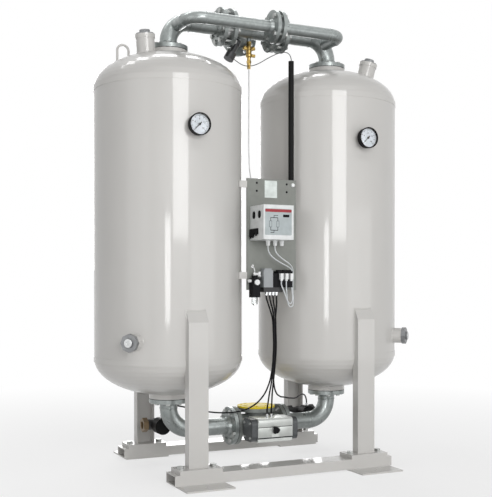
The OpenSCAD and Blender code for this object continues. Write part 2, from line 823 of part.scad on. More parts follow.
module outlet_spool() {
    color(zinc) difference() {
        union() {
            translate([-check_in_x, 0, top_z]) along_x() cylinder(d = pipe_d, h = 2 * check_in_x);
            translate([-check_in_x, 0, top_z]) along_x() main_flange();
            translate([check_in_x, 0, top_z]) rotate([0, -90, 0]) main_flange();
            translate([0, 0, top_z]) along_back() cylinder(d = pipe_d, h = outlet_y);
            translate([0, outlet_y, top_z]) along_front() main_flange();
            translate([pilot_x, 0, pilot_top_z]) cylinder(d = socket_d, h = top_z - pilot_top_z);
            at_sensor(0) cylinder(d = socket_d + 4, h = sensor_start);
        }
        translate([-check_in_x - 1, 0, top_z]) along_x() cylinder(d = pipe_bore_d, h = 2 * check_in_x + 2);
        translate([0, 0, top_z]) along_back() cylinder(d = pipe_bore_d, h = outlet_y + 1);
        translate([pilot_x, 0, pilot_top_z - 1]) cylinder(d = 10, h = top_z - pilot_top_z);
        at_sensor(0) cylinder(d = 12, h = sensor_start + 1);
    }
}

// Wafer check valves between the flange pairs, opening towards the outlet
check_d = 140;
check_seat_d = 60;
check_disc_d = 70;
check_disc_t = 5;
check_seat_t = 10;
check_chamber = check_disc_t + check_travel + 6;

module check_body() {
    translate([-check_out_x, 0, top_z]) along_x() difference() {
        cylinder(d = check_d, h = check_t);
        translate([0, 0, -1]) cylinder(d = check_seat_d, h = check_t + 2);
        translate([0, 0, check_seat_t])
            cylinder(d = check_disc_d + 8, h = check_chamber);
    }
}

module check_disc() {
    translate([-check_out_x + check_seat_t, 0, top_z]) along_x() {
        cylinder(d = check_disc_d, h = check_disc_t);
        translate([0, 0, -check_seat_t + 2]) cylinder(d = 14, h = check_seat_t);
        translate([0, 0, -check_seat_t + 2]) difference() {
            cylinder(d = check_seat_d - 2 * fit_gap, h = check_seat_t - 1);
            translate([0, 0, -1]) cylinder(d = check_seat_d - 8, h = check_seat_t + 1);
            for (turn = [0, 60, 120]) {
                rotate([0, 0, turn]) translate([-40, -10, -1]) cube([80, 20, check_seat_t + 1]);
            }
        }
    }
}

module check_valves() {
    color(steel) {
        check_body();
        mirror([1, 0, 0]) check_body();
    }
}

module check_disc_left() {
    color(steel) check_disc();
}

module check_disc_right() {
    color(steel) mirror([1, 0, 0]) check_disc();
}

module purge_orifice() {
    color(steel) translate([purge_x - orifice_t / 2, -purge_y, purge_z]) along_x() difference() {
        cylinder(d = purge_pcd - flange_hole_d - 1, h = orifice_t);
        translate([0, 0, -1]) cylinder(d = orifice_d, h = orifice_t + 2);
    }
}

// Flat ring gasket
module gasket(d) {
    difference() {
        cylinder(d = d, h = gasket_t);
        translate([0, 0, -1]) cylinder(d = pipe_bore_d, h = gasket_t + 2);
        around(flange_pcd, flange_holes, flange_phase)
            translate([0, 0, -1]) cylinder(d = flange_hole_d, h = gasket_t + 2);
    }
}

module seat_ring() {
    difference() {
        translate([0, 0, seat_in]) cylinder(d = seat_d, h = seat_out - seat_in);
        cylinder(d = ball_bore_d, h = seat_out + 1);
        sphere(r = ball_r + fit_gap);
    }
}

module seals() {
    color(black) {
        both_sides() translate([0, 0, top_face_z]) gasket(flange_d);
        both_sides() translate([0, 0, bottom_flange_z]) gasket(flange_d);
        translate([valve_x - valve_len / 2 - gasket_t, 0, bottom_z]) along_x() gasket(flange_d);
        translate([valve_x + valve_len / 2, 0, bottom_z]) along_x() gasket(flange_d);
    }
    color(white) translate([valve_x, 0, bottom_z]) for (turn = [-90, 0, 90]) {
        rotate([0, turn, 0]) seat_ring();
    }
}

module flange_bolts() {
    screw_d = tapped_d - 2 * fit_gap;
    screw_l = flange_t + gasket_t + tapped_depth - 4;
    pair_x = valve_len / 2 + gasket_t + flange_t;
    color(steel) {
        both_sides() translate([0, 0, top_flange_z + flange_t]) mirror([0, 0, 1])
            around(flange_pcd, flange_holes, flange_phase) screw(screw_d, screw_l);
        both_sides() translate([0, 0, bottom_flange_z - flange_t])
            around(flange_pcd, flange_holes, flange_phase) screw(screw_d, screw_l);
        for (x = [-check_x, check_x]) {
            translate([x - check_t / 2 - flange_t, 0, top_z]) along_x()
                around(flange_pcd, flange_holes, flange_phase) bolt(flange_bolt_d, check_t + 2 * flange_t);
        }
        translate([purge_x - orifice_t / 2 - purge_flange_t, -purge_y, purge_z]) along_x()
            around(purge_pcd, 4, 45) bolt(flange_bolt_d, orifice_t + 2 * purge_flange_t);
        for (turn = [0, 180]) {
            translate([valve_x, 0, bottom_z]) rotate([0, 0, turn]) translate([-pair_x, 0, 0]) along_x()
                around(flange_pcd, flange_holes, flange_phase) bolt(flange_bolt_d, 2 * flange_t + gasket_t);
        }
    }
}

// Welded spool below a vessel, with the branch to the exhaust valve
module inlet_path(main, branch, face_x, exhaust_x, rise, extra) {
    branch_x = exhaust_x - exhaust_len / 2 - exhaust_elbow_r;
    translate([-vessel_x, 0, bottom_bend_z]) cylinder(d = main, h = bottom_flange_z - bottom_bend_z + extra);
    translate([-vessel_x, 0, bottom_bend_z]) mirror([0, 0, 1]) bend(main, elbow_r);
    translate([-bend_x, 0, bottom_z]) along_x() cylinder(d = main, h = bend_x + face_x + extra);
    translate([-branch_x, 0, bottom_z + rise])
        along_back() cylinder(d = branch, h = exhaust_y - exhaust_elbow_r);
    translate([-branch_x, exhaust_y - exhaust_elbow_r, bottom_z + rise])
        mirror([1, 0, 0]) rotate([-90, 0, 0]) bend(branch, exhaust_elbow_r);
    translate([-branch_x - exhaust_elbow_r, exhaust_y, bottom_z + rise])
        rotate([0, -90, 0]) cylinder(d = branch, h = extra);
}

module inlet_spool(face_x, exhaust_x, rise) {
    difference() {
        union() {
            inlet_path(pipe_d, exhaust_pipe_d, face_x, exhaust_x, rise, 0);
            translate([-vessel_x, 0, bottom_flange_z]) mirror([0, 0, 1]) main_flange();
            translate([face_x, 0, bottom_z]) rotate([0, -90, 0]) main_flange();
        }
        inlet_path(pipe_bore_d, exhaust_bore_d, face_x, exhaust_x, rise, 1);
    }
}

module inlet_spool_left() {
    color(zinc) inlet_spool(valve_x - valve_len / 2 - gasket_t, exhaust_left_x, 0);
}

module inlet_spool_right() {
    color(zinc) mirror([1, 0, 0])
        inlet_spool(-valve_x - valve_len / 2 - gasket_t, exhaust_right_x, exhaust_right_rise);
}

// Three-way ball valve with its inlet on top and its stem to the front
module at_valve() {
    translate([valve_x, 0, bottom_z]) children();
}

module valve_flange(h) {
    translate([0, 0, h - flange_t]) difference() {
        cylinder(d = flange_d, h = flange_t);
        around(flange_pcd, flange_holes, flange_phase)
            translate([0, 0, -1]) cylinder(d = flange_hole_d, h = flange_t + 2);
    }
}

module changeover_valve() {
    color(dark) at_valve() difference() {
        union() {
            sphere(r = ball_r + 14);
            for (turn = [-90, 90]) {
                rotate([0, turn, 0]) cylinder(d = seat_d + 16, h = valve_len / 2 - 5);
                rotate([0, turn, 0]) valve_flange(valve_len / 2);
            }
            cylinder(d = seat_d + 16, h = inlet_h - 5);
            valve_flange(inlet_h);
            along_front() cylinder(d = 74, h = act_back_y);
        }
        sphere(r = ball_r + 2);
        for (turn = [-90, 90]) {
            rotate([0, turn, 0]) cylinder(d = ball_bore_d, h = valve_len / 2 + 1);
            rotate([0, turn, 0]) translate([0, 0, seat_in - 10])
                cylinder(d = seat_d + 2 * fit_gap, h = seat_out - seat_in + 10);
        }
        cylinder(d = ball_bore_d, h = inlet_h + 1);
        translate([0, 0, seat_in - 10]) cylinder(d = seat_d + 2 * fit_gap, h = seat_out - seat_in + 10);
        along_front() cylinder(d = stem_d + 2 * run_gap, h = act_back_y + 1);
    }
}

// Ball with its stem; the bore turns from the top to the left
module valve_ball() {
    color(steel) at_valve() difference() {
        union() {
            sphere(r = ball_r);
            along_front() cylinder(d = stem_d, h = act_back_y - fit_gap);
        }
        cylinder(d = ball_bore_d, h = ball_d);
        rotate([0, -90, 0]) cylinder(d = ball_bore_d, h = ball_d);
        sphere(d = ball_bore_d);
    }
}

// Plastic cover on the inlet flange
module inlet_cover() {
    color(yellow) at_valve() translate([0, 0, inlet_h]) difference() {
        union() {
            cylinder(d = flange_d, h = cover_t);
            translate([0, 0, -12]) cylinder(d = ball_bore_d - 2 * fit_gap, h = 13);
            translate([0, 0, cover_t - 1]) cylinder(d = flange_pcd - 30, h = 3);
        }
        translate([0, 0, -13]) cylinder(d = ball_bore_d - 10, h = 13 + cover_t / 2);
        around(flange_pcd, flange_holes, flange_phase)
            translate([0, 0, -1]) cylinder(d = flange_hole_d, h = cover_t + 4);
    }
}

// Actuator in front of the valve, with its cylinder along X
module at_actuator() {
    translate([valve_x, -act_mid_y, bottom_z]) children();
}

module actuator_body() {
    color(alloy) at_actuator() difference() {
        translate([-act_len / 2, 0, 0]) rotate([90, 0, 90]) linear_extrude(act_len) polygon([
            [-act_depth / 2, -act_h / 2 + act_lip], [-act_depth / 2 + 4, -act_h / 2 + act_lip],
            [-act_depth / 2 + 4, -act_h / 2], [act_depth / 2, -act_h / 2], [act_depth / 2, act_h / 2],
            [-act_depth / 2 + 8, act_h / 2], [-act_depth / 2, act_h / 2 - 8]
        ]);
        translate([-act_len / 2 - 1, 0, 0]) along_x() cylinder(d = act_bore_d, h = act_len + 2);
        translate([0, act_depth / 2 + 1, 0]) along_front()
            cylinder(d = journal_d + 2 * run_gap, h = act_depth + 2);
    }
}

// Rounded end cap
module end_cap() {
    r = 30;
    w = act_depth - 6;
    h = act_h - 4;
    along_x() linear_extrude(act_cap_t) union() {
        square([h, w - 2 * r], center = true);
        square([h - 2 * r, w], center = true);
        for (x = [-1, 1], y = [-1, 1]) {
            translate([x * (h / 2 - r), y * (w / 2 - r)]) circle(r = r);
        }
    }
}

module actuator_caps() {
    color(dark) at_actuator() for (side = [0, 1]) {
        mirror([side, 0, 0]) translate([act_len / 2, 0, 0]) end_cap();
    }
}

// Left piston with its rack above the pinion; turned half round it is the right one
module piston() {
    translate([-piston_rest - piston_t, 0, 0]) along_x()
        cylinder(d = act_bore_d - 2 * fit_gap, h = piston_t);
    translate([-piston_rest - 1, -rack_w / 2, pinion_r + fit_gap])
        cube([piston_rest + piston_arm + 1, rack_w, rack_h]);
}

module actuator_piston_left() {
    color(alloy) at_actuator() piston();
}

module actuator_piston_right() {
    color(alloy) at_actuator() rotate([0, 180, 0]) piston();
}

module actuator_shaft() {
    color(steel) at_actuator() {
        translate([0, act_depth / 2, 0]) along_front() cylinder(d = journal_d, h = 14);
        translate([0, -act_depth / 2 + 14, 0]) along_front() cylinder(d = journal_d, h = 17);
        translate([0, act_depth / 2 - 13, 0]) along_front() cylinder(r = pinion_r, h = act_depth - 26);
    }
}

// Three-lobed indicator on the front end of the shaft
module position_indicator() {
    color(black) at_actuator() translate([0, -act_depth / 2 - 3, 0]) along_front() {
        cylinder(d = 32, h = 14);
        for (turn = [0, 120, 240]) {
            rotate([0, 0, turn]) translate([13, 0, 0]) cylinder(d = 15, h = 10);
        }
    }
}

// Piston-operated exhaust valve: body along X, head to the front
module at_exhaust(side) {
    x = side < 0 ? -exhaust_left_x : exhaust_right_x;
    rise = side < 0 ? 0 : exhaust_right_rise;
    translate([x, exhaust_y, bottom_z + rise]) children();
}

module exhaust_valves() {
    color(bronze) for (side = [-1, 1]) {
        at_exhaust(side) difference() {
            union() {
                translate([-exhaust_len / 2, 0, 0]) along_x() cylinder(d = 56, h = exhaust_len);
                for (x = [-exhaust_len / 2, exhaust_len / 2 - 26]) {
                    translate([x, 0, 0]) along_x() hex(exhaust_hex, 26);
                }
                translate([0, 30, 0]) along_front()
                    cylinder(d = exhaust_neck_d, h = 30 + exhaust_y - exhaust_neck_y);
            }
            translate([-exhaust_len / 2 - 1, 0, 0]) along_x() cylinder(d = exhaust_bore, h = exhaust_len + 2);
            translate([0, plunger_d / 2 + fit_gap, 0]) along_front()
                cylinder(d = plunger_d + 2 * run_gap, h = exhaust_y - exhaust_neck_y + plunger_d);
        }
    }
}

module exhaust_heads() {
    color(black) for (side = [-1, 1]) {
        at_exhaust(side) translate([0, exhaust_neck_y - exhaust_y, 0]) along_front() difference() {
            union() {
                cylinder(d = exhaust_head_d, h = exhaust_head_h - 8);
                cylinder(d = exhaust_head_d - 12, h = exhaust_head_h);
            }
            translate([0, 0, exhaust_head_wall])
                cylinder(d = exhaust_head_d - 16, h = exhaust_head_h - 2 * exhaust_head_wall);
            translate([0, 0, -1]) cylinder(d = plunger_d + 1, h = exhaust_head_wall + 2);
        }
    }
}

// Piston, rod and closing plug of one exhaust valve
module plunger() {
    translate([0, plunger_d / 2, 0]) along_front() cylinder(d = plunger_d, h = plunger_d);
    along_front() cylinder(d = 14, h = exhaust_y - exhaust_neck_y + 15);
    translate([0, exhaust_neck_y - exhaust_y - exhaust_head_wall - fit_gap, 0]) along_front()
        cylinder(d = exhaust_head_d - 16 - 2 * fit_gap, h = exhaust_piston_t);
}

module exhaust_plunger_left() {
    color(steel) at_exhaust(-1) plunger();
}

module exhaust_plunger_right() {
    color(steel) at_exhaust(1) plunger();
}

// Bent panel sheet with two tabs that reach the left shell
module control_panel() {
    tab_x = -vessel_x + sqrt(pow(vessel_r + weld_gap, 2) - pow(panel_y - tab_t, 2));
    color("#868c86") difference() {
        union() {
            translate([-panel_w / 2, -panel_y, panel_z]) cube([panel_w, panel_t, panel_h]);
            for (x = [-panel_w / 2, panel_w / 2 - panel_t]) {
                translate([x, -panel_y, panel_z]) cube([panel_t, panel_flange, panel_h]);
            }
            for (z = [panel_z + 56, panel_top_z - tab_h - tab_in]) {
                translate([tab_x, -panel_y, z]) cube([-panel_w / 2 - tab_x + 1, tab_t, tab_h]);
            }
        }
        for (x = [-85, 85], z = [panel_top_z - 22, panel_top_z - 62]) {
            translate([x, -panel_y - 1, z]) along_back() cylinder(d = 7, h = panel_t + 2);
        }
        translate([regulator_x, -panel_y - 1, pilot_hole_z]) along_back()
            cylinder(d = pilot_d + 10, h = panel_t + 2);
    }
}

module rating_plate() {
    color(white) translate([-41, -panel_y - 1, panel_top_z - plate_drop - plate_h])
        cube([plate_w, 1, plate_h]);
}

// Controller: open base on the panel and a lid over it
module ctrl_block(front_y, d, grow) {
    translate([ctrl_x - ctrl_w / 2 + grow, -front_y, ctrl_z + grow])
        cube([ctrl_w - 2 * grow, d, ctrl_h - 2 * grow]);
}

module controller_case() {
    color(white) difference() {
        ctrl_block(ctrl_split_y, ctrl_base_d, 0);
        ctrl_block(ctrl_split_y + 1, ctrl_base_d - ctrl_wall + 1, ctrl_wall);
        for (i = [0:len(gland_x) - 1]) {
            if (gland_used[i]) {
                translate([gland_x[i], -gland_y, ctrl_z - 1]) cylinder(d = cable_d + 5, h = ctrl_wall + 2);
            }
        }
    }
}

module controller_lid() {
    color(white) difference() {
        ctrl_block(ctrl_front_y, ctrl_lid_d, 0);
        ctrl_block(ctrl_front_y - ctrl_wall, ctrl_lid_d - ctrl_wall + 1, ctrl_wall);
    }
}

// Glands that carry the control cable are bored through, the rest are blank plugs
module cable_glands() {
    color(white) for (i = [0:len(gland_x) - 1]) {
        translate([gland_x[i], -gland_y, ctrl_z - gland_h]) difference() {
            union() {
                cylinder(d = gland_d - 4, h = gland_h);
                translate([0, 0, gland_h - 9]) hex(gland_d, 9);
                translate([0, 0, 6]) hex(gland_d - 3, 9);
            }
            if (gland_used[i]) {
                translate([0, 0, -1]) cylinder(d = cable_d + 2 * fit_gap, h = gland_h + 2);
            }
        }
    }
}

// Valve terminal on the panel
module valve_terminal() {
    color("#c3c6c6") translate([terminal_x, -panel_y - terminal_d, terminal_z]) {
        cube([terminal_w, terminal_d, terminal_h + 10]);
        translate([6, 4, terminal_h + 9]) cube([terminal_w - 12, terminal_d - 8, 10]);
        translate([0, 0, -24]) cube([terminal_w + 56, terminal_d, 24]);
    }
}

module solenoid_valves() {
    color(black) translate([0, -panel_y - terminal_d - 4, terminal_z]) {
        translate([terminal_x + terminal_w + 1, 0, 0])
            cube([valve_block_w, terminal_d + 4, coil_h - 12]);
        for (i = [0:2]) {
            translate([coil_x + i * coil_pitch, 0, 0]) {
                cube([coil_w, terminal_d + 4, coil_h]);
                translate([5, 8, coil_h - 1]) cube([coil_w - 10, 30, 7]);
            }
        }
    }
}

module coil_plugs() {
    color(white) for (i = [0:2]) {
        translate([plug_x(i), -plug_y, plug_z]) {
            translate([-plug_w / 2, -plug_d / 2, 8]) cube([plug_w, plug_d, 30]);
            translate([-5, -5, 0]) cube([10, 10, 9]);
        }
    }
}

// Push-in fitting with its collar down
module push_fitting() {
    difference() {
        union() {
            cylinder(d = fitting_d, h = fitting_h - 5);
            translate([0, 0, fitting_h - 5]) hex(fitting_d - 1, 5);
        }
        translate([0, 0, -1]) cylinder(d = tube_d + 2 * fit_gap, h = fitting_h - 3);
    }
}

module tube_fittings() {
    color("#d9dcdc") {
        for (x = fitting_x) {
            translate([x, -fitting_y, terminal_z - 24 - fitting_h]) push_fitting();
        }
        for (i = [0, 1]) {
            translate([act_port_x + i * act_port_pitch, -act_mid_y, bottom_z + act_h / 2 + fitting_h])
                mirror([0, 0, 1]) push_fitting();
        }
        for (side = [-1, 1]) {
            at_exhaust(side)
                translate([0, exhaust_end_y - exhaust_y, exhaust_head_d / 2 + fit_gap + fitting_h])
                    mirror([0, 0, 1]) push_fitting();
        }
    }
}

// Filter regulator at the lower left of the panel
module at_regulator() {
    translate([regulator_x, -panel_y - regulator_d / 2, regulator_z]) children();
}

module filter_regulator() {
    color(black) at_regulator() difference() {
        union() {
            translate([-regulator_w / 2, -regulator_d / 2, 0]) cube([regulator_w, regulator_d, regulator_h]);
            translate([0, 0, regulator_h - 1]) cylinder(d = 30, h = 16);
        }
        translate([0, 0, -1]) cylinder(d = bowl_d + 1, h = 12);
        translate([0, 0, regulator_h + 5]) cylinder(d = pilot_d + 2 * fit_gap, h = 11);
        translate([0, -regulator_d / 2 + 12, regulator_h - 20]) along_front()
            cylinder(d = 8 + 2 * fit_gap, h = 14);
    }
}

// Small gauge on the regulator's front
module regulator_gauge() {
    color(white) at_regulator() translate([0, -regulator_d / 2, regulator_h - 20]) along_front() {
        cylinder(d = reg_gauge_d, h = 10);
        cylinder(d = reg_gauge_d - 5, h = 11);
        translate([0, 0, -10]) cylinder(d = 8, h = 11);
    }
}

module regulator_bowl() {
    color("#e6ecec", 0.6) at_regulator() translate([0, 0, 11]) mirror([0, 0, 1]) difference() {
        union() {
            cylinder(d = bowl_d, h = 44);
            translate([0, 0, 43]) cylinder(d1 = bowl_d, d2 = 12, h = 8);
        }
        translate([0, 0, -1]) cylinder(d = bowl_d - 5, h = 43);
    }
}

// Brass valve that taps control air from the outlet
module pilot_valve() {
    color(brass) translate([pilot_x, 0, pilot_top_z]) mirror([0, 0, 1]) difference() {
        union() {
            hex(24, 26);
            translate([0, 0, 24]) cylinder(d = 20, h = pilot_len - 44);
            translate([0, 0, pilot_len / 2]) sphere(d = 32);
            translate([0, 0, pilot_len / 2]) along_x() cylinder(d = 18, h = 34);
            translate([0, 0, pilot_len - 22]) hex(18, 22);
        }
        translate([0, 0, pilot_len - 14]) cylinder(d = pilot_d + 2 * fit_gap, h = 15);
    }
}

// Dew-point sensor that leans out of its socket
module dewpoint_sensor() {
    color(dark) at_sensor(sensor_start) difference() {
        union() {
            cylinder(d = 30, h = sensor_len - 36);
            translate([0, 0, 12]) hex(36, 14);
            translate([0, 0, sensor_len - 40]) cylinder(d = 54, h = 40);
        }
        translate([0, 0, sensor_len - 20]) rotate([0, -90, 0]) translate([0, 0, 15])
            cylinder(d = wire_d + 2 * fit_gap, h = 14);
    }
}

// Conduit behind the panel, closed at the top around the wire
module sensor_conduit() {
    h = conduit_top_z - panel_top_z + 56;
    color(black) translate([conduit_x, -conduit_y, conduit_top_z - h]) difference() {
        cylinder(d = conduit_d, h = h);
        translate([0, 0, -1]) cylinder(d = conduit_d - 6, h = h - 14);
        cylinder(d = wire_d + 2 * fit_gap, h = h + 1);
    }
}

// Round cord swept along a route as one closed body
function unit(v) = v / norm(v);
function tangents(route) = [
    for (i = [0:len(route) - 1])
        unit(route[min(i + 1, len(route) - 1)] - route[max(i - 1, 0)])
];
function rings(route, d, n, across) = [
    for (i = [0:len(route) - 1])
        let (t = tangents(route)[i], u = unit(cross(t, across)), v = cross(t, u))
            for (k = [0:n - 1]) route[i] + d / 2 * (cos(360 * k / n) * u + sin(360 * k / n) * v)
];

module cord(route, d, across, n = 8) {
    last = len(route) - 1;
    polyhedron(
        points = rings(route, d, n, across),
        faces = concat(
            [[for (k = [0:n - 1]) k]],
            [[for (k = [n - 1:-1:0]) last * n + k]],
            [for (i = [0:last - 1], k = [0:n - 1]) [i * n + (k + 1) % n, i * n + k, (i + 1) * n + k]],
            [for (i = [0:last - 1], k = [0:n - 1])
                [i * n + (k + 1) % n, (i + 1) * n + k, (i + 1) * n + (k + 1) % n]]
        )
    );
}

module pilot_tube() {
    color(white) cord(pilot_route, pilot_d, [1, -1, 0]);
}

module sensor_wire() {
    color(dark) cord(sensor_route, wire_d, [1, 1, 0]);
}

module actuator_tube_left() {
    color(black) cord(act_left_route, tube_d, [1, 0, 0]);
}

module actuator_tube_right() {
    color(black) cord(act_right_route, tube_d, [1, 0, 0]);
}

module exhaust_tube_left() {
    color(black) cord(exh_left_route, tube_d, [1, 1, 0]);
}

module exhaust_tube_right() {
    color(black) cord(exh_right_route, tube_d, [1, -1, 0]);
}

module coil_cable_a() {
    color("#cfd2d2") cord(cable_a_route, cable_d, [0, 1, 0]);
}

module coil_cable_b() {
    color("#cfd2d2") cord(cable_b_route, cable_d, [0, 1, 0]);
}

vessel_left();
vessel_right();
desiccant_beds();
bed_screens();
nozzle_plugs();
legs();
base_beams();
leg_bolts();
gauge_cases();
gauge_dials();
gauge_glasses();
gauge_needle_left();
gauge_needle_right();
top_spool_left();
top_spool_right();
outlet_spool();
check_valves();
check_disc_left();
check_disc_right();
purge_orifice();
seals();
flange_bolts();
inlet_spool_left();
inlet_spool_right();
changeover_valve();
valve_ball();
inlet_cover();
actuator_body();
actuator_caps();
actuator_piston_left();
actuator_piston_right();
actuator_shaft();
position_indicator();
exhaust_valves();
exhaust_heads();
exhaust_plunger_left();
exhaust_plunger_right();
control_panel();
rating_plate();
controller_case();
controller_lid();
cable_glands();
valve_terminal();
solenoid_valves();
coil_plugs();
tube_fittings();
filter_regulator();
regulator_gauge();
regulator_bowl();
pilot_valve();
dewpoint_sensor();
sensor_conduit();
pilot_tube();
sensor_wire();
actuator_tube_left();
actuator_tube_right();
exhaust_tube_left();
exhaust_tube_right();
coil_cable_a();
coil_cable_b();
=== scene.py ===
import math

import bmesh
import bpy
from bpy.props import FloatProperty, FloatVectorProperty, PointerProperty
from mathutils import Matrix, Vector


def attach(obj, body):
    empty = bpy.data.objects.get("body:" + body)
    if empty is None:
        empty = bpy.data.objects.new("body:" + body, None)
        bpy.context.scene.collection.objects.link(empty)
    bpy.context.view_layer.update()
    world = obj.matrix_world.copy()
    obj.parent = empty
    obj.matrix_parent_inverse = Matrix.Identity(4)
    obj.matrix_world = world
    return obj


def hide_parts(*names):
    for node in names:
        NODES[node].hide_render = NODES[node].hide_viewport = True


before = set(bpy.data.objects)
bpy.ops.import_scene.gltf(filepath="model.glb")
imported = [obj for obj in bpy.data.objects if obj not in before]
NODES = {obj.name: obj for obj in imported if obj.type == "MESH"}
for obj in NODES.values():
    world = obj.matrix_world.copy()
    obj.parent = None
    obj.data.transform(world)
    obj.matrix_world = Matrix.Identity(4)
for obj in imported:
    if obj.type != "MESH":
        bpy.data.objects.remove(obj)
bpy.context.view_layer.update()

ROOT = "root"
# Millimetres in a metre
MM = 1000

bl_info = {
    "name": "Twin tower air dryer",
    "version": (1, 0, 0),
    "blender": (4, 5, 0),
    "location": "View3D > Sidebar > Dryer",
    "description": "Dresses the solids of a twin tower desiccant air dryer",
    "category": "Object",
}


def colour(label, text, value):
    """A colour property in linear light."""
    return FloatVectorProperty(name=label, description=text, subtype="COLOR", size=3,
                               min=0.0, max=1.0, default=value)


def length(label, text, value):
    """A length property in metres."""
    return FloatProperty(name=label, description=text, subtype="DISTANCE", unit="LENGTH",
                         min=0.0, default=value)


class DryerFinishes(bpy.types.PropertyGroup):
    """Colours of the finishes."""
    paint: colour("Vessel paint", "Pebble grey of the vessels, legs and beams",
                  (0.552, 0.541, 0.522))
    zinc: colour("Galvanised pipe", "Hot-dip zinc of the pipework", (0.315, 0.340, 0.334))
    sheet: colour("Panel sheet", "Galvanised sheet of the control panel", (0.205, 0.214, 0.196))
    case: colour("Controller case", "Pale moulded case of the controller", (0.70, 0.715, 0.715))
    face: colour("Controller face", "Printed face of the controller", (0.40, 0.445, 0.455))
    stripe: colour("Stripe", "Band across the controller face", (0.29, 0.016, 0.024))
    cover: colour("Inlet cover", "Moulded cover of the inlet flange", (0.78, 0.60, 0.012))
    alloy: colour("Actuator alloy", "Anodised alloy of the actuator", (0.56, 0.58, 0.56))
    brass: colour("Brass", "Brass of the pilot valve", (0.52, 0.36, 0.12))
    bronze: colour("Bronze", "Bronze of the exhaust ends", (0.17, 0.115, 0.058))
    black: colour("Black parts", "Black mouldings and painted heads", (0.008, 0.008, 0.009))


class DryerSizes(bpy.types.PropertyGroup):
    """Sizes of what is added to the solids."""
    tube: length("Air tube", "Diameter of the black air tubes", 0.008)
    pilot: length("Pilot tube", "Diameter of the white pilot tube", 0.006)
    wire: length("Sensor wire", "Diameter of the sensor wire", 0.004)
    cable: length("Coil cable", "Diameter of the two coil cables", 0.006)


class DryerStage(bpy.types.PropertyGroup):
    """Camera, floor and light."""
    lens: FloatProperty(name="Lens", description="Focal length of the camera, in millimetres",
                        min=10.0, max=300.0, default=65.63)
    rise: FloatProperty(name="Rise", description="Vertical shift of the camera",
                        min=-0.5, max=0.5, default=0.0943)
    floor: colour("Floor", "Pale studio floor", (0.86, 0.86, 0.86))
    ambient: FloatProperty(name="Ambient light", description="Strength of the even light",
                           min=0.0, max=2.0, default=0.19)


# Materials

BAND_BLUR = 0.0004


def added(near, kind, **values):
    """A new node in the tree of another node or of a socket, with some of its inputs set."""
    node = near.id_data.nodes.new(kind)
    for name, value in values.items():
        node.inputs[name].default_value = value
    return node


def link(start, end):
    """Joins two sockets of one tree."""
    start.id_data.links.new(start, end)


def new_material(label):
    """An empty node material with its shader and its object coordinates."""
    mat = bpy.data.materials.new(label)
    mat.use_nodes = True
    shader = mat.node_tree.nodes["Principled BSDF"]
    return mat, shader, added(shader, "ShaderNodeTexCoord").outputs["Object"]


def noise(place, scale, detail=3.0, rough=0.55, stretch=None):
    """Noise in object space, its scale in cells a metre."""
    node = added(place, "ShaderNodeTexNoise", Scale=scale, Detail=detail, Roughness=rough)
    if stretch:
        turn = added(place, "ShaderNodeMapping", Scale=stretch)
        link(place, turn.inputs["Vector"])
        place = turn.outputs["Vector"]
    link(place, node.inputs["Vector"])
    return node.outputs["Fac"]


def spangle(place, scale):
    """Crystal patches of hot-dip zinc, as grey values."""
    node = added(place, "ShaderNodeTexVoronoi", Scale=scale)
    link(place, node.inputs["Vector"])
    grey = added(place, "ShaderNodeSeparateColor")
    link(node.outputs["Color"], grey.inputs["Color"])
    return grey.outputs["Red"]


def ramp(value, stops):
    """Colours along a value, as (place, colour) stops."""
    node = added(value, "ShaderNodeValToRGB")
    band = node.color_ramp
    while len(band.elements) < len(stops):
        band.elements.new(0.5)
    for element, (at, tint) in zip(band.elements, stops):
        element.position = at
        element.color = (*tint, 1.0)
    link(value, node.inputs["Fac"])
    return node.outputs["Color"]


def spread(value, low, high, at_low=0.3, at_high=0.7):
    """A value brought from the middle of its range to low and high."""
    node = added(value, "ShaderNodeMapRange", **{"From Min": at_low, "From Max": at_high,
                                                 "To Min": low, "To Max": high})
    link(value, node.inputs["Value"])
    return node.outputs["Result"]


def relief(shader, value, height, strength):
    """Bump of a real height in metres."""
    node = added(value, "ShaderNodeBump", Distance=height, Strength=strength)
    link(value, node.inputs["Height"])
    link(node.outputs["Normal"], shader.inputs["Normal"])


def shade(base, gain):
    """A colour made lighter or darker."""
    return tuple(max(0.0, min(1.0, c * gain)) for c in base)


def mottle(shader, value, base, low, high):
    """Base colour that wanders between two shades of one colour."""
    stops = [(0.30, shade(base, low)), (0.70, shade(base, high))]
    link(ramp(value, stops), shader.inputs["Base Color"])


def roughen(shader, value, low, high, at_low=0.3, at_high=0.7):
    """Roughness that follows a value."""
    link(spread(value, low, high, at_low, at_high), shader.inputs["Roughness"])


def pebble(shader, place, grain, rough, depth):
    """Fine grain of a moulding, in its gloss and its surface."""
    fine = noise(place, scale=grain, detail=2.0)
    roughen(shader, fine, low=rough - 0.07, high=rough + 0.09)
    relief(shader, fine, height=depth, strength=0.5)


def coordinate(vector, axis):
    """One coordinate of a vector."""
    node = added(vector, "ShaderNodeSeparateXYZ")
    link(vector, node.inputs["Vector"])
    return node.outputs[axis]


def times(tint, gain):
    """A colour times a value."""
    node = added(tint, "ShaderNodeVectorMath")
    node.operation = "SCALE"
    link(tint, node.inputs[0])
    link(gain, node.inputs["Scale"])
    return node.outputs["Vector"]


def combine(operation, *values):
    """One or two values brought through an operation."""
    node = added(values[0], "ShaderNodeMath")
    node.operation = operation
    for value, socket in zip(values, node.inputs):
        link(value, socket)
    return node.outputs[0]


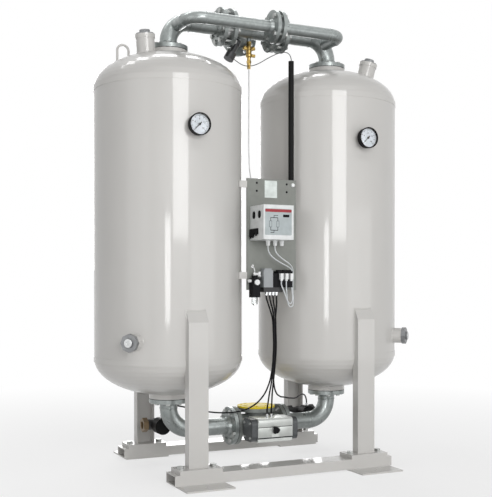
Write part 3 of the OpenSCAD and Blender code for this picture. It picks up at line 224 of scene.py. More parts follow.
def painted(label, base):
    """Gloss paint over steel: faint clouds and orange peel."""
    mat, shader, place = new_material(label)
    mottle(shader, noise(place, scale=2.5), base, low=0.985, high=1.01)
    roughen(shader, noise(place, scale=40.0), low=0.38, high=0.42)
    shader.inputs["Specular IOR Level"].default_value = 0.3
    shader.inputs["Coat Weight"].default_value = 0.6
    shader.inputs["Coat Roughness"].default_value = 0.07
    peel = noise(place, scale=420.0, detail=2.0)
    relief(shader, peel, height=0.00008, strength=0.20)
    return mat


def galvanised(label, base, cells, rough, metallic=0.70, contrast=0.16, painted_shade=0.0):
    """Hot-dip zinc: spangle, grey clouds, and painted shade that makes what faces up paler and what
    faces down darker.
    """
    mat, shader, place = new_material(label)
    both = added(shader, "ShaderNodeMix", Factor=0.6)
    link(spangle(place, cells), both.inputs["A"])
    link(noise(place, scale=11.0, detail=5.0, rough=0.62), both.inputs["B"])
    mixed = both.outputs["Result"]
    zinc = ramp(mixed, [(0.25, shade(base, 1 - contrast)), (0.50, base),
                        (0.75, shade(base, 1 + contrast))])
    # Painted shade: the zinc is made paler where it faces up and darker where it faces down.
    if painted_shade:
        facing = added(shader, "ShaderNodeNewGeometry").outputs["Normal"]
        film = spread(coordinate(facing, "Z"), low=1 - painted_shade, high=1 + 0.6 * painted_shade, at_low=-0.8,
                      at_high=0.9)
        zinc = times(zinc, film)
    link(zinc, shader.inputs["Base Color"])
    roughen(shader, mixed, low=rough + 0.10, high=rough - 0.08, at_low=0.2, at_high=0.8)
    shader.inputs["Metallic"].default_value = metallic
    relief(shader, noise(place, scale=55.0, detail=4.0), height=0.0004, strength=0.25)
    return mat


def metal(label, base, rough, grain, brushed=None, weight=1.0, worn=0.20):
    """Turned, cast or drawn metal with a fine grain."""
    mat, shader, place = new_material(label)
    fine = noise(place, scale=grain, detail=4.0, rough=0.6, stretch=brushed)
    mottle(shader, noise(place, scale=22.0), base, low=1 - worn, high=1 + 0.7 * worn)
    roughen(shader, fine, low=rough - 0.08, high=rough + 0.14)
    shader.inputs["Metallic"].default_value = weight
    relief(shader, fine, height=0.00025, strength=0.30)
    return mat


def moulded(label, base, rough, grain=900.0, depth=0.00008, spec=0.5):
    """Moulded plastic or rubber with a fine pebbled grain."""
    mat, shader, place = new_material(label)
    mottle(shader, noise(place, scale=30.0), base, low=0.90, high=1.08)
    pebble(shader, place, grain, rough, depth)
    shader.inputs["Specular IOR Level"].default_value = spec
    return mat


def clear(label, tint, rough):
    """Clear cover glass or bowl, with a faint cloud in its gloss."""
    mat, shader, place = new_material(label)
    haze = noise(place, scale=60.0, detail=2.0)
    mottle(shader, haze, tint, low=0.97, high=1.0)
    roughen(shader, haze, low=rough, high=rough + 0.05)
    shader.inputs["Transmission Weight"].default_value = 1.0
    shader.inputs["IOR"].default_value = 1.46
    return mat


def banded(label, low, high, axis, at, rough=0.42, both_ways=False):
    """Two colours of one part, that change at a place along an axis."""
    mat, shader, place = new_material(label)
    along = coordinate(place, axis)
    if both_ways:
        along = combine("ABSOLUTE", along)
    share = spread(along, low=0.0, high=1.0, at_low=at - BAND_BLUR, at_high=at + BAND_BLUR)
    tint = ramp(share, [(0.0, low), (1.0, high)])
    cloud = spread(noise(place, scale=25.0, detail=4.0), low=0.94, high=1.05)
    link(times(tint, cloud), shader.inputs["Base Color"])
    pebble(shader, place, grain=500.0, rough=rough, depth=0.00012)
    return mat


def beads(label, base):
    """Desiccant beads packed in a bed, with painted shade that darkens each bead towards its rim
    and the gaps between the beads.
    """
    mat, shader, place = new_material(label)
    cell = added(place, "ShaderNodeTexVoronoi", Scale=260.0)
    link(place, cell.inputs["Vector"])
    depth = cell.outputs["Distance"]
    # Painted shade: each bead is pale at its middle and dark towards its rim and the gaps round it.
    tint = ramp(depth, [(0.05, shade(base, 1.1)), (0.75, shade(base, 0.45))])
    link(tint, shader.inputs["Base Color"])
    roughen(shader, noise(place, scale=90.0), low=0.65, high=0.85)
    relief(shader, depth, height=0.003, strength=0.8)
    return mat


def finishes():
    """All materials of the dryer by name, made once."""
    hues = bpy.context.scene.dryer_finishes
    return {
        "paint": painted("pebble_grey_paint", hues.paint),
        # The galvanised pipe carries painted shade, paler on top and darker beneath.
        "zinc": galvanised("galvanised_pipe", hues.zinc, cells=70.0, rough=0.33,
                           contrast=0.11, painted_shade=0.35),
        "bolt": galvanised("zinc_plated_bolts", (0.42, 0.43, 0.42), cells=160.0, rough=0.34,
                           metallic=0.85),
        "sheet": banded("panel_sheet", hues.paint, hues.sheet, axis="X", at=-0.1392, rough=0.50),
        "steel": metal("bright_steel", (0.52, 0.53, 0.53), rough=0.28, grain=220.0),
        "dark_steel": metal("dark_plug_steel", (0.23, 0.235, 0.24), rough=0.40, grain=140.0,
                            weight=0.6),
        "sensor": metal("dark_sensor_body", (0.055, 0.056, 0.058), rough=0.36, grain=160.0,
                        weight=0.5),
        "alloy": metal("anodised_alloy", hues.alloy, rough=0.36, grain=180.0,
                       brushed=(1.0, 14.0, 14.0), weight=0.65, worn=0.06),
        "cap": metal("painted_end_cap", (0.075, 0.080, 0.083), rough=0.34, grain=120.0,
                     weight=0.30),
        "cast": metal("cast_valve_body", (0.20, 0.215, 0.205), rough=0.55, grain=90.0, weight=0.45),
        "brass": metal("turned_brass", hues.brass, rough=0.26, grain=200.0),
        "bronze": banded("bronze_ends", (0.020, 0.020, 0.020), hues.bronze, axis="X",
                         at=0.505, both_ways=True),
        "terminal": banded("valve_terminal_plastic", hues.black, (0.30, 0.315, 0.325), axis="Z",
                           at=0.930),
        "chrome": metal("plated_fittings", (0.66, 0.67, 0.68), rough=0.16, grain=300.0),
        "mesh": metal("screen_steel", (0.42, 0.42, 0.41), rough=0.45, grain=400.0),
        "cover": moulded("yellow_cover", hues.cover, rough=0.50, spec=0.15),
        "case": moulded("pale_case", hues.case, rough=0.38),
        "white": moulded("white_plastic", (0.80, 0.81, 0.81), rough=0.36),
        "black": moulded("black_plastic", hues.black, rough=0.50, spec=0.1),
        "head": moulded("black_painted_head", (0.008, 0.008, 0.008), rough=0.46, grain=500.0,
                        depth=0.00015, spec=0.16),
        "rubber": moulded("gasket_rubber", (0.010, 0.010, 0.010), rough=0.70, spec=0.2),
        "tube": moulded("black_tube", (0.004, 0.004, 0.005), rough=0.42, grain=300.0,
                        depth=0.00004, spec=0.15),
        "pilot": moulded("white_tube", (0.72, 0.73, 0.73), rough=0.36, grain=300.0, depth=0.00004),
        "cable": moulded("grey_cable", (0.62, 0.645, 0.66), rough=0.48, grain=400.0),
        "conduit": moulded("black_conduit", (0.010, 0.010, 0.010), rough=0.60, grain=240.0,
                           depth=0.0002, spec=0.1),
        "dial": moulded("dial_enamel", (0.80, 0.83, 0.88), rough=0.40, grain=700.0, depth=0.00002),
        "mark": moulded("dial_print", (0.012, 0.012, 0.014), rough=0.45, grain=700.0,
                        depth=0.00001),
        "needle": moulded("needle_enamel", (0.010, 0.010, 0.010), rough=0.40, grain=700.0,
                          depth=0.00002),
        "glass": clear("gauge_glass", (0.97, 0.98, 0.98), rough=0.03),
        "bowl": clear("bowl_polycarbonate", (0.94, 0.96, 0.96), rough=0.10),
        "plate": metal("blank_rating_plate", (0.56, 0.60, 0.58), rough=0.42, grain=300.0,
                       brushed=(18.0, 1.0, 1.0), weight=0.55),
        "face": moulded("printed_face", hues.face, rough=0.42, grain=800.0, depth=0.00002),
        "stripe": moulded("red_band", hues.stripe, rough=0.40, grain=800.0, depth=0.00002),
        "ink": moulded("face_print", (0.020, 0.022, 0.025), rough=0.45, grain=800.0, depth=0.00001),
        "beads": beads("desiccant_beads", (0.70, 0.66, 0.58)),
    }


COATS = {}

# Names of the solids that have each finish
SOLIDS = {
    "paint": "vessel_left vessel_right legs base_beams",
    "beads": "desiccant_beds",
    "mesh": "bed_screens",
    "dark_steel": "nozzle_plugs",
    "bolt": "leg_bolts flange_bolts",
    "black": "gauge_cases position_indicator solenoid_valves filter_regulator",
    "dial": "gauge_dials",
    "glass": "gauge_glasses",
    "needle": "gauge_needle_left gauge_needle_right",
    "zinc": "top_spool_left top_spool_right outlet_spool inlet_spool_left inlet_spool_right",
    "steel": "check_valves check_disc_left check_disc_right purge_orifice actuator_shaft "
             "exhaust_plunger_left exhaust_plunger_right",
    "rubber": "seals",
    "cast": "changeover_valve",
    "chrome": "valve_ball tube_fittings",
    "cover": "inlet_cover",
    "alloy": "actuator_body actuator_piston_left actuator_piston_right",
    "cap": "actuator_caps",
    "bronze": "exhaust_valves",
    "head": "exhaust_heads",
    "sheet": "control_panel",
    "plate": "rating_plate",
    "case": "controller_case controller_lid",
    "white": "cable_glands coil_plugs regulator_gauge",
    "terminal": "valve_terminal",
    "bowl": "regulator_bowl",
    "brass": "pilot_valve",
    "sensor": "dewpoint_sensor",
    "conduit": "sensor_conduit",
    "pilot": "pilot_tube",
    "tube": "sensor_wire actuator_tube_left actuator_tube_right exhaust_tube_left "
            "exhaust_tube_right",
    "cable": "coil_cable_a coil_cable_b",
}


def coat(piece, name):
    """Gives a piece one finish."""
    piece.data.materials.clear()
    piece.data.materials.append(COATS[name])
    return piece


def unselect():
    """Leaves nothing selected."""
    bpy.ops.object.select_all(action="DESELECT")


class DRYER_OT_coat_solids(bpy.types.Operator):
    """Gives every solid its finish"""
    bl_idname = "dryer.coat_solids"
    bl_label = "Coat the solids"

    def execute(self, context):
        COATS.update(finishes())
        for finish, names in SOLIDS.items():
            for name in names.split():
                coat(NODES[name], finish)
        return {"FINISHED"}


# Tubes, wires and cables

PILOT_ROUTE = [
    (-10, 0, 2097.9), (-10, 0, 2075.9), (-10, 0, 2000), (-11, -2, 1880), (-12, -2, 1760),
    (-12, -4, 1640), (-14, -20, 1540), (-24, -70, 1460), (-50, -130, 1380), (-80, -180, 1290),
    (-98, -206, 1200), (-106, -214, 1120), (-108, -218, 1080), (-108, -224, 1058),
    (-108, -236, 1042), (-108, -254, 1035), (-108, -268, 1022), (-108, -274, 1002),
    (-108, -274, 984),
]
SENSOR_ROUTE = [
    (-96.5, 20, 2141.1), (-85.2, 20, 2134.6), (-73.1, 20, 2127.6), (-52, 22, 2117.5),
    (-34, 23.5, 2112), (-14, 24, 2109.5), (8, 21.5, 2111), (30, 12, 2116), (50, -10, 2125),
    (66, -42, 2136), (82, -84, 2146), (97, -136, 2151.5), (109, -184, 2147),
    (116.5, -216, 2130), (119, -233.7, 2102), (119, -233.7, 2082),
]
ACT_LEFT_ROUTE = [
    (-27, -280, 896), (-27, -280, 880), (-22, -279, 856), (-8, -274, 820), (5, -264, 770),
    (9, -260, 710), (11, -260, 640), (9, -258, 570), (4, -254, 500), (-2, -248, 440),
    (-4, -232, 390), (2, -208, 350), (8, -186, 318), (12, -172.5, 287.7), (12, -172.5, 267.7),
]
ACT_RIGHT_ROUTE = [
    (-8, -280, 896), (-8, -280, 880), (-5, -279, 856), (4, -274, 820), (14, -265, 770),
    (18, -260, 710), (20, -260, 640), (18, -258, 570), (13, -254, 500), (9, -248, 440),
    (12, -232, 390), (22, -208, 350), (32, -186, 318), (36, -172.5, 287.7), (36, -172.5, 267.7),
]
EXH_LEFT_ROUTE = [
    (-46, -280, 896), (-46, -280, 880), (-38, -278, 856), (-20, -268, 820), (2, -254, 770),
    (8, -251, 710), (10, -251, 640), (8, -249, 570), (2, -245, 500), (-14, -240, 432),
    (-46, -230, 370), (-96, -212, 324), (-150, -170, 298), (-208, -110, 287), (-260, -40, 286),
    (-310, 30, 292), (-370, 88, 306), (-414, 120, 308), (-438, 134, 298), (-449, 141, 280),
    (-452, 142.5, 263.7), (-452, 142.5, 249.7),
]
EXH_RIGHT_ROUTE = [
    (11, -280, 896), (11, -280, 880), (13, -278, 856), (16, -268, 820), (18, -256, 770),
    (18, -251, 710), (20, -251, 640), (18, -249, 570), (14, -245, 500), (18, -238, 440),
    (38, -220, 394), (80, -180, 366), (140, -120, 350), (210, -50, 334), (290, 30, 322),
    (346, 88, 326), (388, 122, 326), (408, 136, 314), (417, 141, 296), (420, 142.5, 279.7),
    (420, 142.5, 265.7),
]
CABLE_A_ROUTE = [
    (-46, -300, 1149), (-46, -300, 1123), (-38, -301, 1100), (-14, -303, 1076),
    (16, -303, 1058), (46, -300, 1044), (78, -292, 1030), (96, -284, 1016), (101, -277, 986),
    (101, -274, 946), (100, -280, 910), (96, -294, 880), (86, -306, 858), (72, -313, 848),
    (58, -316, 858), (46, -316, 884), (34, -314, 916), (22, -313, 946), (22, -313, 962),
]
CABLE_B_ROUTE = [
    (-7, -300, 1149), (-7, -300, 1123), (0, -301, 1104), (20, -302, 1084), (48, -300, 1066),
    (76, -294, 1050), (98, -284, 1032), (109, -275, 1002), (111, -268, 962), (111, -268, 922),
    (109, -276, 884), (102, -290, 852), (90, -302, 836), (74, -308, 832), (62, -310, 848),
    (56, -311, 880), (52, -312, 914), (50, -313, 946), (50, -313, 962),
]
# Size, finish, stiffness and slot of the air tubes and of the coil cables
AIR_TUBE = ("tube", "tube", "medium", "tube_black")
COIL_CABLE = ("cable", "cable", "limp", "cable_grey")
# Piece, the solid that it stands for, its route, size, finish, stiffness and slot
RUNS = (
    ("pilot_line", "pilot_tube", PILOT_ROUTE, "pilot", "pilot", "medium", "tube_white"),
    ("sensor_lead", "sensor_wire", SENSOR_ROUTE, "wire", "tube", "limp", "tube_black"),
    ("actuator_line_left", "actuator_tube_left", ACT_LEFT_ROUTE, *AIR_TUBE),
    ("actuator_line_right", "actuator_tube_right", ACT_RIGHT_ROUTE, *AIR_TUBE),
    ("exhaust_line_left", "exhaust_tube_left", EXH_LEFT_ROUTE, *AIR_TUBE),
    ("exhaust_line_right", "exhaust_tube_right", EXH_RIGHT_ROUTE, *AIR_TUBE),
    ("coil_lead_a", "coil_cable_a", CABLE_A_ROUTE, *COIL_CABLE),
    ("coil_lead_b", "coil_cable_b", CABLE_B_ROUTE, *COIL_CABLE),
)
TUBE_STEPS = 8
TUBE_BEVEL = 4


def round_line(name, kind, radius, bevel, capped=True):
    """A round line that has no points yet, and its spline."""
    line = bpy.data.curves.new(name, "CURVE")
    line.dimensions = "3D"
    line.resolution_u = TUBE_STEPS
    line.bevel_depth = radius
    line.bevel_resolution = bevel
    line.use_fill_caps = capped
    piece = bpy.data.objects.new(name, line)
    bpy.context.scene.collection.objects.link(piece)
    return piece, line.splines.new(kind)


def swept(name, route, diameter):
    """One smooth round line through a route given in millimetres."""
    piece, spline = round_line(name, "BEZIER", diameter / 2, TUBE_BEVEL)
    spline.bezier_points.add(len(route) - 1)
    for point, place in zip(spline.bezier_points, route):
        point.co = [v / MM for v in place]
        point.handle_left_type = point.handle_right_type = "AUTO"
    return piece


def run_of(piece):
    """Length of a line as it is drawn."""
    bare = piece.data.copy()
    bare.bevel_depth = 0.0
    probe = bpy.data.objects.new("probe", bare)
    mesh = bpy.data.meshes.new_from_object(probe)
    points = [v.co.copy() for v in mesh.vertices]
    bpy.data.meshes.remove(mesh)
    bpy.data.objects.remove(probe)
    bpy.data.curves.remove(bare)
    return sum((b - a).length for a, b in zip(points, points[1:]))


class DRYER_OT_lay_tubes(bpy.types.Operator):
    """Lays the air tubes, the sensor wire and the two coil cables"""
    bl_idname = "dryer.lay_tubes"
    bl_label = "Lay the tubes and cables"

    def execute(self, context):
        for name, node, route, size, finish, stiffness, slot in RUNS:
            diameter = getattr(context.scene.dryer_sizes, size)
            piece = coat(swept(name, route, diameter), finish)
            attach(piece, ROOT)
            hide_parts(node)
            round(run_of(piece), 3)
        return {"FINISHED"}


# Hand-modelled forms, with their sizes and places in millimetres

X, Y, Z = range(3)
UP, DOWN = (0, 0, 1), (0, 0, -1)
LEFT, RIGHT = (-1, 0, 0), (1, 0, 0)
FRONT, BACK = (0, -1, 0), (0, 1, 0)
SIDES = (-1, 1)
TOWER_X = 465
DRAIN_Z = 670
SMOOTH_ANGLE = math.radians(35)
EDGE_ANGLE = math.radians(50)
EDGE_STEPS = 2
CORNER_STEPS = 5
HEX_SIDES = 6
SCREW_SIDES = 24


def metres(place):
    """A place in millimetres as a vector in metres."""
    return Vector(place) / MM


def settle(piece, name):
    """Puts a piece's place into its mesh and smooths its round faces."""
    piece.name = piece.data.name = name
    bpy.ops.object.transform_apply()
    bpy.ops.object.shade_smooth_by_angle(angle=SMOOTH_ANGLE)
    return piece


def stand(piece, name, at, along):
    """Settles a piece that was made upright at a place, along a direction."""
    piece.rotation_euler = Vector(along).to_track_quat("Z", "Y").to_euler()
    piece.location = metres(at)
    return settle(piece, name)


def face_outwards():
    """Turns every face of the mesh in edit mode outwards, and leaves that mode."""
    bpy.ops.mesh.select_all(action="SELECT")
    bpy.ops.mesh.normals_make_consistent(inside=False)
    bpy.ops.object.mode_set(mode="OBJECT")


def block(name, low, high, corner=0.0, axis=Y, edge=0.0):
    """A block between two corners, rounded along one axis, with its edges broken."""
    unselect()
    bpy.ops.mesh.primitive_cube_add(size=1.0, location=metres(low).lerp(metres(high), 0.5),
                                    scale=metres(high) - metres(low))
    piece = bpy.context.object
    bpy.ops.object.transform_apply()
    if corner:
        bpy.ops.object.mode_set(mode="EDIT")
        bpy.ops.mesh.select_mode(type="EDGE")
        bpy.ops.mesh.select_all(action="DESELECT")
        form = bmesh.from_edit_mesh(piece.data)
        for line in form.edges:
            way = (line.verts[1].co - line.verts[0].co).normalized()
            line.select_set(abs(way[axis]) > 0.99)
        bmesh.update_edit_mesh(piece.data)
        bpy.ops.mesh.bevel(offset=corner / MM, segments=CORNER_STEPS, affect="EDGES")
        bpy.ops.object.mode_set(mode="OBJECT")
    if edge:
        brk = piece.modifiers.new("broken_edges", "BEVEL")
        brk.width = edge / MM
        brk.segments = EDGE_STEPS
        brk.limit_method = "ANGLE"
        brk.angle_limit = EDGE_ANGLE
        bpy.ops.object.modifier_apply(modifier=brk.name)
    return settle(piece, name)


def turned(name, steps, at, along, sides=32):
    """A turned form from (radius, height) steps, its foot at a place, along a direction."""
    unselect()
    radius, height = steps[0]
    bpy.ops.mesh.primitive_circle_add(vertices=sides, radius=radius / MM, fill_type="NGON",
                                      location=(0.0, 0.0, height / MM))
    piece = bpy.context.object
    bpy.ops.object.transform_apply()
    bpy.ops.object.mode_set(mode="EDIT")
    bpy.ops.mesh.select_all(action="SELECT")
    for wide, high in steps[1:]:
        bpy.ops.mesh.extrude_region_move(
            TRANSFORM_OT_translate={"value": (0.0, 0.0, (high - height) / MM)})
        if wide != radius:
            bpy.ops.transform.resize(value=(wide / radius, wide / radius, 1.0),
                                     center_override=(0.0, 0.0, high / MM))
        radius, height = wide, high
    face_outwards()
    return stand(piece, name, at, along)


def copied(piece, move):
    """A copy of a piece with its own mesh, moved by a matrix."""
    twin = piece.copy()
    twin.data = piece.data.copy()
    twin.data.transform(move)
    bpy.context.scene.collection.objects.link(twin)
    return twin


def joined(name, pieces):
    """Several forms made one piece."""
    unselect()
    for piece in pieces:
        piece.select_set(True)
    bpy.context.view_layer.objects.active = pieces[0]
    bpy.ops.object.join()
    whole = bpy.context.object
    whole.name = whole.data.name = name
    return whole


def dress(piece, finish):
    """Gives a new piece its finish, and fixes it to the root body."""
    coat(piece, finish)
    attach(piece, ROOT)


# Gauges

GAUGE_Z = 1695
DIAL_Y = -419.5
SCALE_FROM = 225
SCALE_SWEEP = 270
SCALE_STEPS = 32
LONG_TICK_EVERY = 4
NUMBER_EVERY = 8
STEPS_A_BAR = 2
TICK_END = 44
TICK_T = 0.3
# Start, half of the width and corner of a tick
LONG_TICK = (34, 0.9, 0.4)
SHORT_TICK = (39, 0.5, 0.2)
NUMBER_R = 25
NUMBER_Y = DIAL_Y - 0.15
NUMBER_H = 0.012
NUMBER_T = 0.0001


def tick(x, form):
    """One mark of a scale, to the right of the middle of the dial at x."""
    start, half, corner = form
    return block("tick", (x + start, DIAL_Y - TICK_T, GAUGE_Z - half),
                 (x + TICK_END, DIAL_Y, GAUGE_Z + half), corner)


def dial_number(label, place):
    """One printed number of a dial, facing the front."""
    unselect()
    bpy.ops.object.text_add(location=metres(place), rotation=(math.pi / 2, 0.0, 0.0))
    text = bpy.context.object.data
    text.body = label
    text.size = NUMBER_H
    text.extrude = NUMBER_T
    text.align_x = "CENTER"
    text.align_y = "CENTER"
    bpy.ops.object.convert(target="MESH")
    return settle(bpy.context.object, "dial_number")


class DRYER_OT_mark_gauges(bpy.types.Operator):
    """Prints the scale and its numbers on both dials"""
    bl_idname = "dryer.mark_gauges"
    bl_label = "Mark the gauges"

    def execute(self, context):
        for name, x in (("gauge_scale_left", -TOWER_X), ("gauge_scale_right", TOWER_X)):
            middle = metres((x, 0, GAUGE_Z))
            long_tick, short_tick = tick(x, LONG_TICK), tick(x, SHORT_TICK)
            marks = []
            for step in range(SCALE_STEPS + 1):
                angle = math.radians(SCALE_FROM - SCALE_SWEEP * step / SCALE_STEPS)
                turn = (Matrix.Translation(middle) @ Matrix.Rotation(-angle, 4, "Y")
                        @ Matrix.Translation(-middle))
                marks.append(copied(short_tick if step % LONG_TICK_EVERY else long_tick, turn))
                if step % NUMBER_EVERY == 0:
                    at = (x + NUMBER_R * math.cos(angle), NUMBER_Y,
                          GAUGE_Z + NUMBER_R * math.sin(angle))
                    marks.append(dial_number(str(step // STEPS_A_BAR), at))
            for spare in (long_tick, short_tick):
                bpy.data.objects.remove(spare)
            dress(joined(name, marks), "mark")
        return {"FINISHED"}


# Controller

FACE_Y = -400
FILM_Y = FACE_Y - 0.8
INK_T = 0.2
INK_CORNER = 0.3
# Piece, its left, foot, right and top, its back and front, corner, broken edge and finish
FACE_FILMS = (
    ("controller_face", (-113, 1186.5, 34, 1316), (FACE_Y, FILM_Y), 5, 0.3, "face"),
    ("controller_band", (-112.4, 1299, 33.4, 1313.5), (FILM_Y, FACE_Y - 1.1), 4, 0.0, "stripe"),
    ("controller_display", (-15, 1275, 20, 1288), (FILM_Y, FACE_Y - 1.6), 2, 0.4, "black"),
)
# Left, foot, right and top of each line of the flow sketch
SKETCH_LINES = (
    (-84, 1197, -66, 1200), (-66, 1197, -63, 1209), (-84, 1208, -42, 1211.4),
    (-84, 1208, -81, 1225), (-45, 1208, -42, 1225), (-84, 1256, -81, 1273),
    (-45, 1256, -42, 1273), (-84, 1269.6, -42, 1273), (-66, 1273, -63, 1284),
    (-66, 1281, -42, 1284), (-90, 1225, -75.6, 1226.6), (-90, 1254.4, -75.6, 1256),
    (-90, 1225, -88.4, 1256), (-77.2, 1225, -75.6, 1256), (-50.4, 1225, -36, 1226.6),
    (-50.4, 1254.4, -36, 1256), (-50.4, 1225, -48.8, 1256), (-37.6, 1225, -36, 1256),
)
SIDE_X = -121
GRIP_YS = (-293, -355)
# Form of a side grip, its back and front off the side, half of its width, foot, top, corner, edge
GRIP_FORMS = (
    ("side_grip", (0, 1.5), 15, 1270, 1308, 14, 0.5),
    ("grip_rib", (1.2, 2.6), 3, 1276, 1302, 2.5, 0.3),
)
# Place along the side and foot of each socket
SOCKETS = ((-325, 1190), (-290, 1182), (-264, 1180))
SOCKET_TOP = 1219
# Corners of a socket and place of its nut, each off the side and along it
SOCKET_LOW, SOCKET_HIGH, NUT_AT = (-9, -12), (-2, 9), (-5.5, -1.5)
SOCKET_CORNER = 3
SOCKET_EDGE = 0.8
SOCKET_BASE = ((SIDE_X - 4, -344, 1192), (SIDE_X, -254, 1222))
SOCKET_NUT = [(3.4, 0), (4, 0.8), (4, 5), (3.2, 6)]


class DRYER_OT_face_controller(bpy.types.Operator):
    """Lays the printed face on the controller and fits the parts of its left side"""
    bl_idname = "dryer.face_controller"
    bl_label = "Face the controller"

    def execute(self, context):
        for name, (x0, z0, x1, z1), (back, front), corner, edge, finish in FACE_FILMS:
            film = block(name, (x0, front, z0), (x1, back, z1), corner, Y, edge)
            dress(film, finish)

        lines = [block("sketch_line", (x0, FILM_Y - INK_T, z0), (x1, FILM_Y, z1), INK_CORNER)
                 for x0, z0, x1, z1 in SKETCH_LINES]
        dress(joined("controller_scheme", lines), "ink")

        grips = []
        for y in GRIP_YS:
            for name, (back, front), half, foot, top, corner, edge in GRIP_FORMS:
                grips.append(block(name, (SIDE_X - front, y - half, foot),
                                   (SIDE_X - back, y + half, top), corner, X, edge))
        dress(joined("controller_side_grips", grips), "black")

        sockets = [block("socket_base", *SOCKET_BASE, SOCKET_CORNER, X, SOCKET_EDGE)]
        for y, foot in SOCKETS:
            low = (SIDE_X + SOCKET_LOW[0], y + SOCKET_LOW[1], foot)
            high = (SIDE_X + SOCKET_HIGH[0], y + SOCKET_HIGH[1], SOCKET_TOP)
            sockets.append(block("socket", low, high, SOCKET_CORNER, Z, SOCKET_EDGE))
            nut = (SIDE_X + NUT_AT[0], y + NUT_AT[1], foot)
            sockets.append(turned("socket_nut", SOCKET_NUT, nut, DOWN, HEX_SIDES))
        dress(joined("controller_sockets", sockets), "black")
        return {"FINISHED"}


# Panel

PANEL_Y = -250
PANEL_SCREW = [(5.5, 0), (5.5, 0.8), (4.8, 2.0), (3.2, 2.8), (2.0, 2.8), (2.0, 1.5)]
PANEL_SCREW_XS = (-85, 85)
PANEL_SCREW_ZS = (1456, 1416)
CONDUIT_CAP = [(10, 0), (10, 5), (9, 8), (6, 10), (3, 10.6)]
CONDUIT_CAP_AT = (119, PANEL_Y, 1453)
ELBOW_Y = -274
# Place across, foot and top of each collar
ELBOW_COLLARS = ((-108, 976, 1003), (-82, 984, 1008))
ELBOW_LEG = [(6.5, 0), (6.5, 18), (7.5, 19), (7.5, 26)]
ELBOW_LEG_AT = (-108, ELBOW_Y, 996)
ELBOW_INLET = [(6.5, 0), (8, 1), (8, 12), (6.5, 13), (6.5, 17)]
ELBOW_INLET_AT = (-128, ELBOW_Y, 962)


class DRYER_OT_fit_panel(bpy.types.Operator):
    """Fits the panel's screws, the cap of the conduit and the elbows of the regulator"""
    bl_idname = "dryer.fit_panel"
    bl_label = "Fit the panel"

    def execute(self, context):
        screws = [turned("panel_screw", PANEL_SCREW, (x, PANEL_Y, z), FRONT, SCREW_SIDES)
                  for x in PANEL_SCREW_XS for z in PANEL_SCREW_ZS]
        dress(joined("panel_screws", screws), "black")

        cap = turned("conduit_cap", CONDUIT_CAP, CONDUIT_CAP_AT, FRONT)
        dress(cap, "white")

        elbows = []
        for x, foot, top in ELBOW_COLLARS:
            tall = top - foot
            collar = [(8, 0), (9, 1), (9, 6), (7.5, 7), (7.5, tall - 5), (8.5, tall - 4),
                      (8.5, tall)]
            elbows.append(turned("elbow_collar", collar, (x, ELBOW_Y, foot), UP))
        elbows.append(turned("elbow_leg", ELBOW_LEG, ELBOW_LEG_AT, RIGHT))
        elbows.append(turned("elbow_inlet", ELBOW_INLET, ELBOW_INLET_AT, LEFT))
        dress(joined("regulator_elbows", elbows), "white")
        return {"FINISHED"}


# Welds of the pipes

MAIN_R = 44.45
PURGE_R = 30.15
# Place, direction and radius of each butt joint on the right, which has its twin on the left
PIPE_WELDS = (
    ((TOWER_X, 0, 2176), UP, MAIN_R),
    ((350.7, 0, 2290.3), RIGHT, MAIN_R),
    ((TOWER_X, 0, 314), UP, MAIN_R),
    ((350.7, 0, 199.7), RIGHT, MAIN_R),
    ((431.5, -148.8, 2256.8), BACK, PURGE_R),
    ((355.3, -225, 2256.8), RIGHT, PURGE_R),
)
RING_R = 3
RING_SINK = 0.6
RING_STEPS = 90
RING_SIDES = 10
RIPPLE_EVERY = 3
RIPPLE_SWELL = 1.35


def weld_ring(at, along, radius):
    """A rippled bead of weld metal round a pipe."""
    unselect()
    bpy.ops.mesh.primitive_torus_add(major_radius=(radius - RING_SINK) / MM,
                                     minor_radius=RING_R / MM, major_segments=RING_STEPS,
                                     minor_segments=RING_SIDES)
    ring = bpy.context.object
    bpy.ops.object.mode_set(mode="EDIT")
    bpy.ops.mesh.select_all(action="DESELECT")
    form = bmesh.from_edit_mesh(ring.data)
    for point in form.verts:
        step = round(math.atan2(point.co.y, point.co.x) / math.tau * RING_STEPS)
        point.select_set(step % RIPPLE_EVERY == 0)
    form.select_flush_mode()
    bmesh.update_edit_mesh(ring.data)
    bpy.ops.transform.resize(value=(1.0, 1.0, RIPPLE_SWELL), center_override=(0.0, 0.0, 0.0))
    bpy.ops.object.mode_set(mode="OBJECT")
    return stand(ring, "weld_bead", at, along)


class DRYER_OT_bead_welds(bpy.types.Operator):
    """Runs a rippled weld bead round each butt joint of the pipes"""
    bl_idname = "dryer.bead_welds"
    bl_label = "Bead the welds"

    def execute(self, context):
        rings = [weld_ring((side * x, y, z), along, radius)
                 for (x, y, z), along, radius in PIPE_WELDS for side in SIDES]
        dress(joined("weld_beads", rings), "zinc")
        return {"FINISHED"}


# Welds of the vessels

SHELL_R = 375
FILL_NECK_R = 46
DRAIN_NECK_R = 40
BOSS_R = 20
EYE_R = 6
NECK_BEAD = 3.4
BOSS_BEAD = 2.4
EYE_BEAD = 2.2
LEG_BEAD = 3.6
BEAD_STEP = 3.5
BEAD_OUT = 0.6
BEAD_WAIST = 0.84
BEAD_BEVEL = 2
RIPPLES_LEAST = 6
RAY_RISE = 0.6
LEG_EDGE = 50
LEG_WELD_FOOT = 590
LEG_WELD_STEPS = 14
# The sloping cut at the top of a leg: its height at a distance from the vessel's axis, its slope
LEG_CUT_Z = 765
LEG_CUT_R = 408
LEG_CUT_SLOPE = 1.6
# Distance off the axis and height of the two ends of a lifting eye
EYE_ENDS = ((211, 2081), (269, 2057))
# Vessel, its side, fill neck (off the axis, turn, lean, height), turn of the drain neck
VESSEL_NECKS = (
    ("vessel_left", -1, (175, 211, 6, 2092.3), 225),
    ("vessel_right", 1, (211, -28, 14, 2081.4), -45),
)


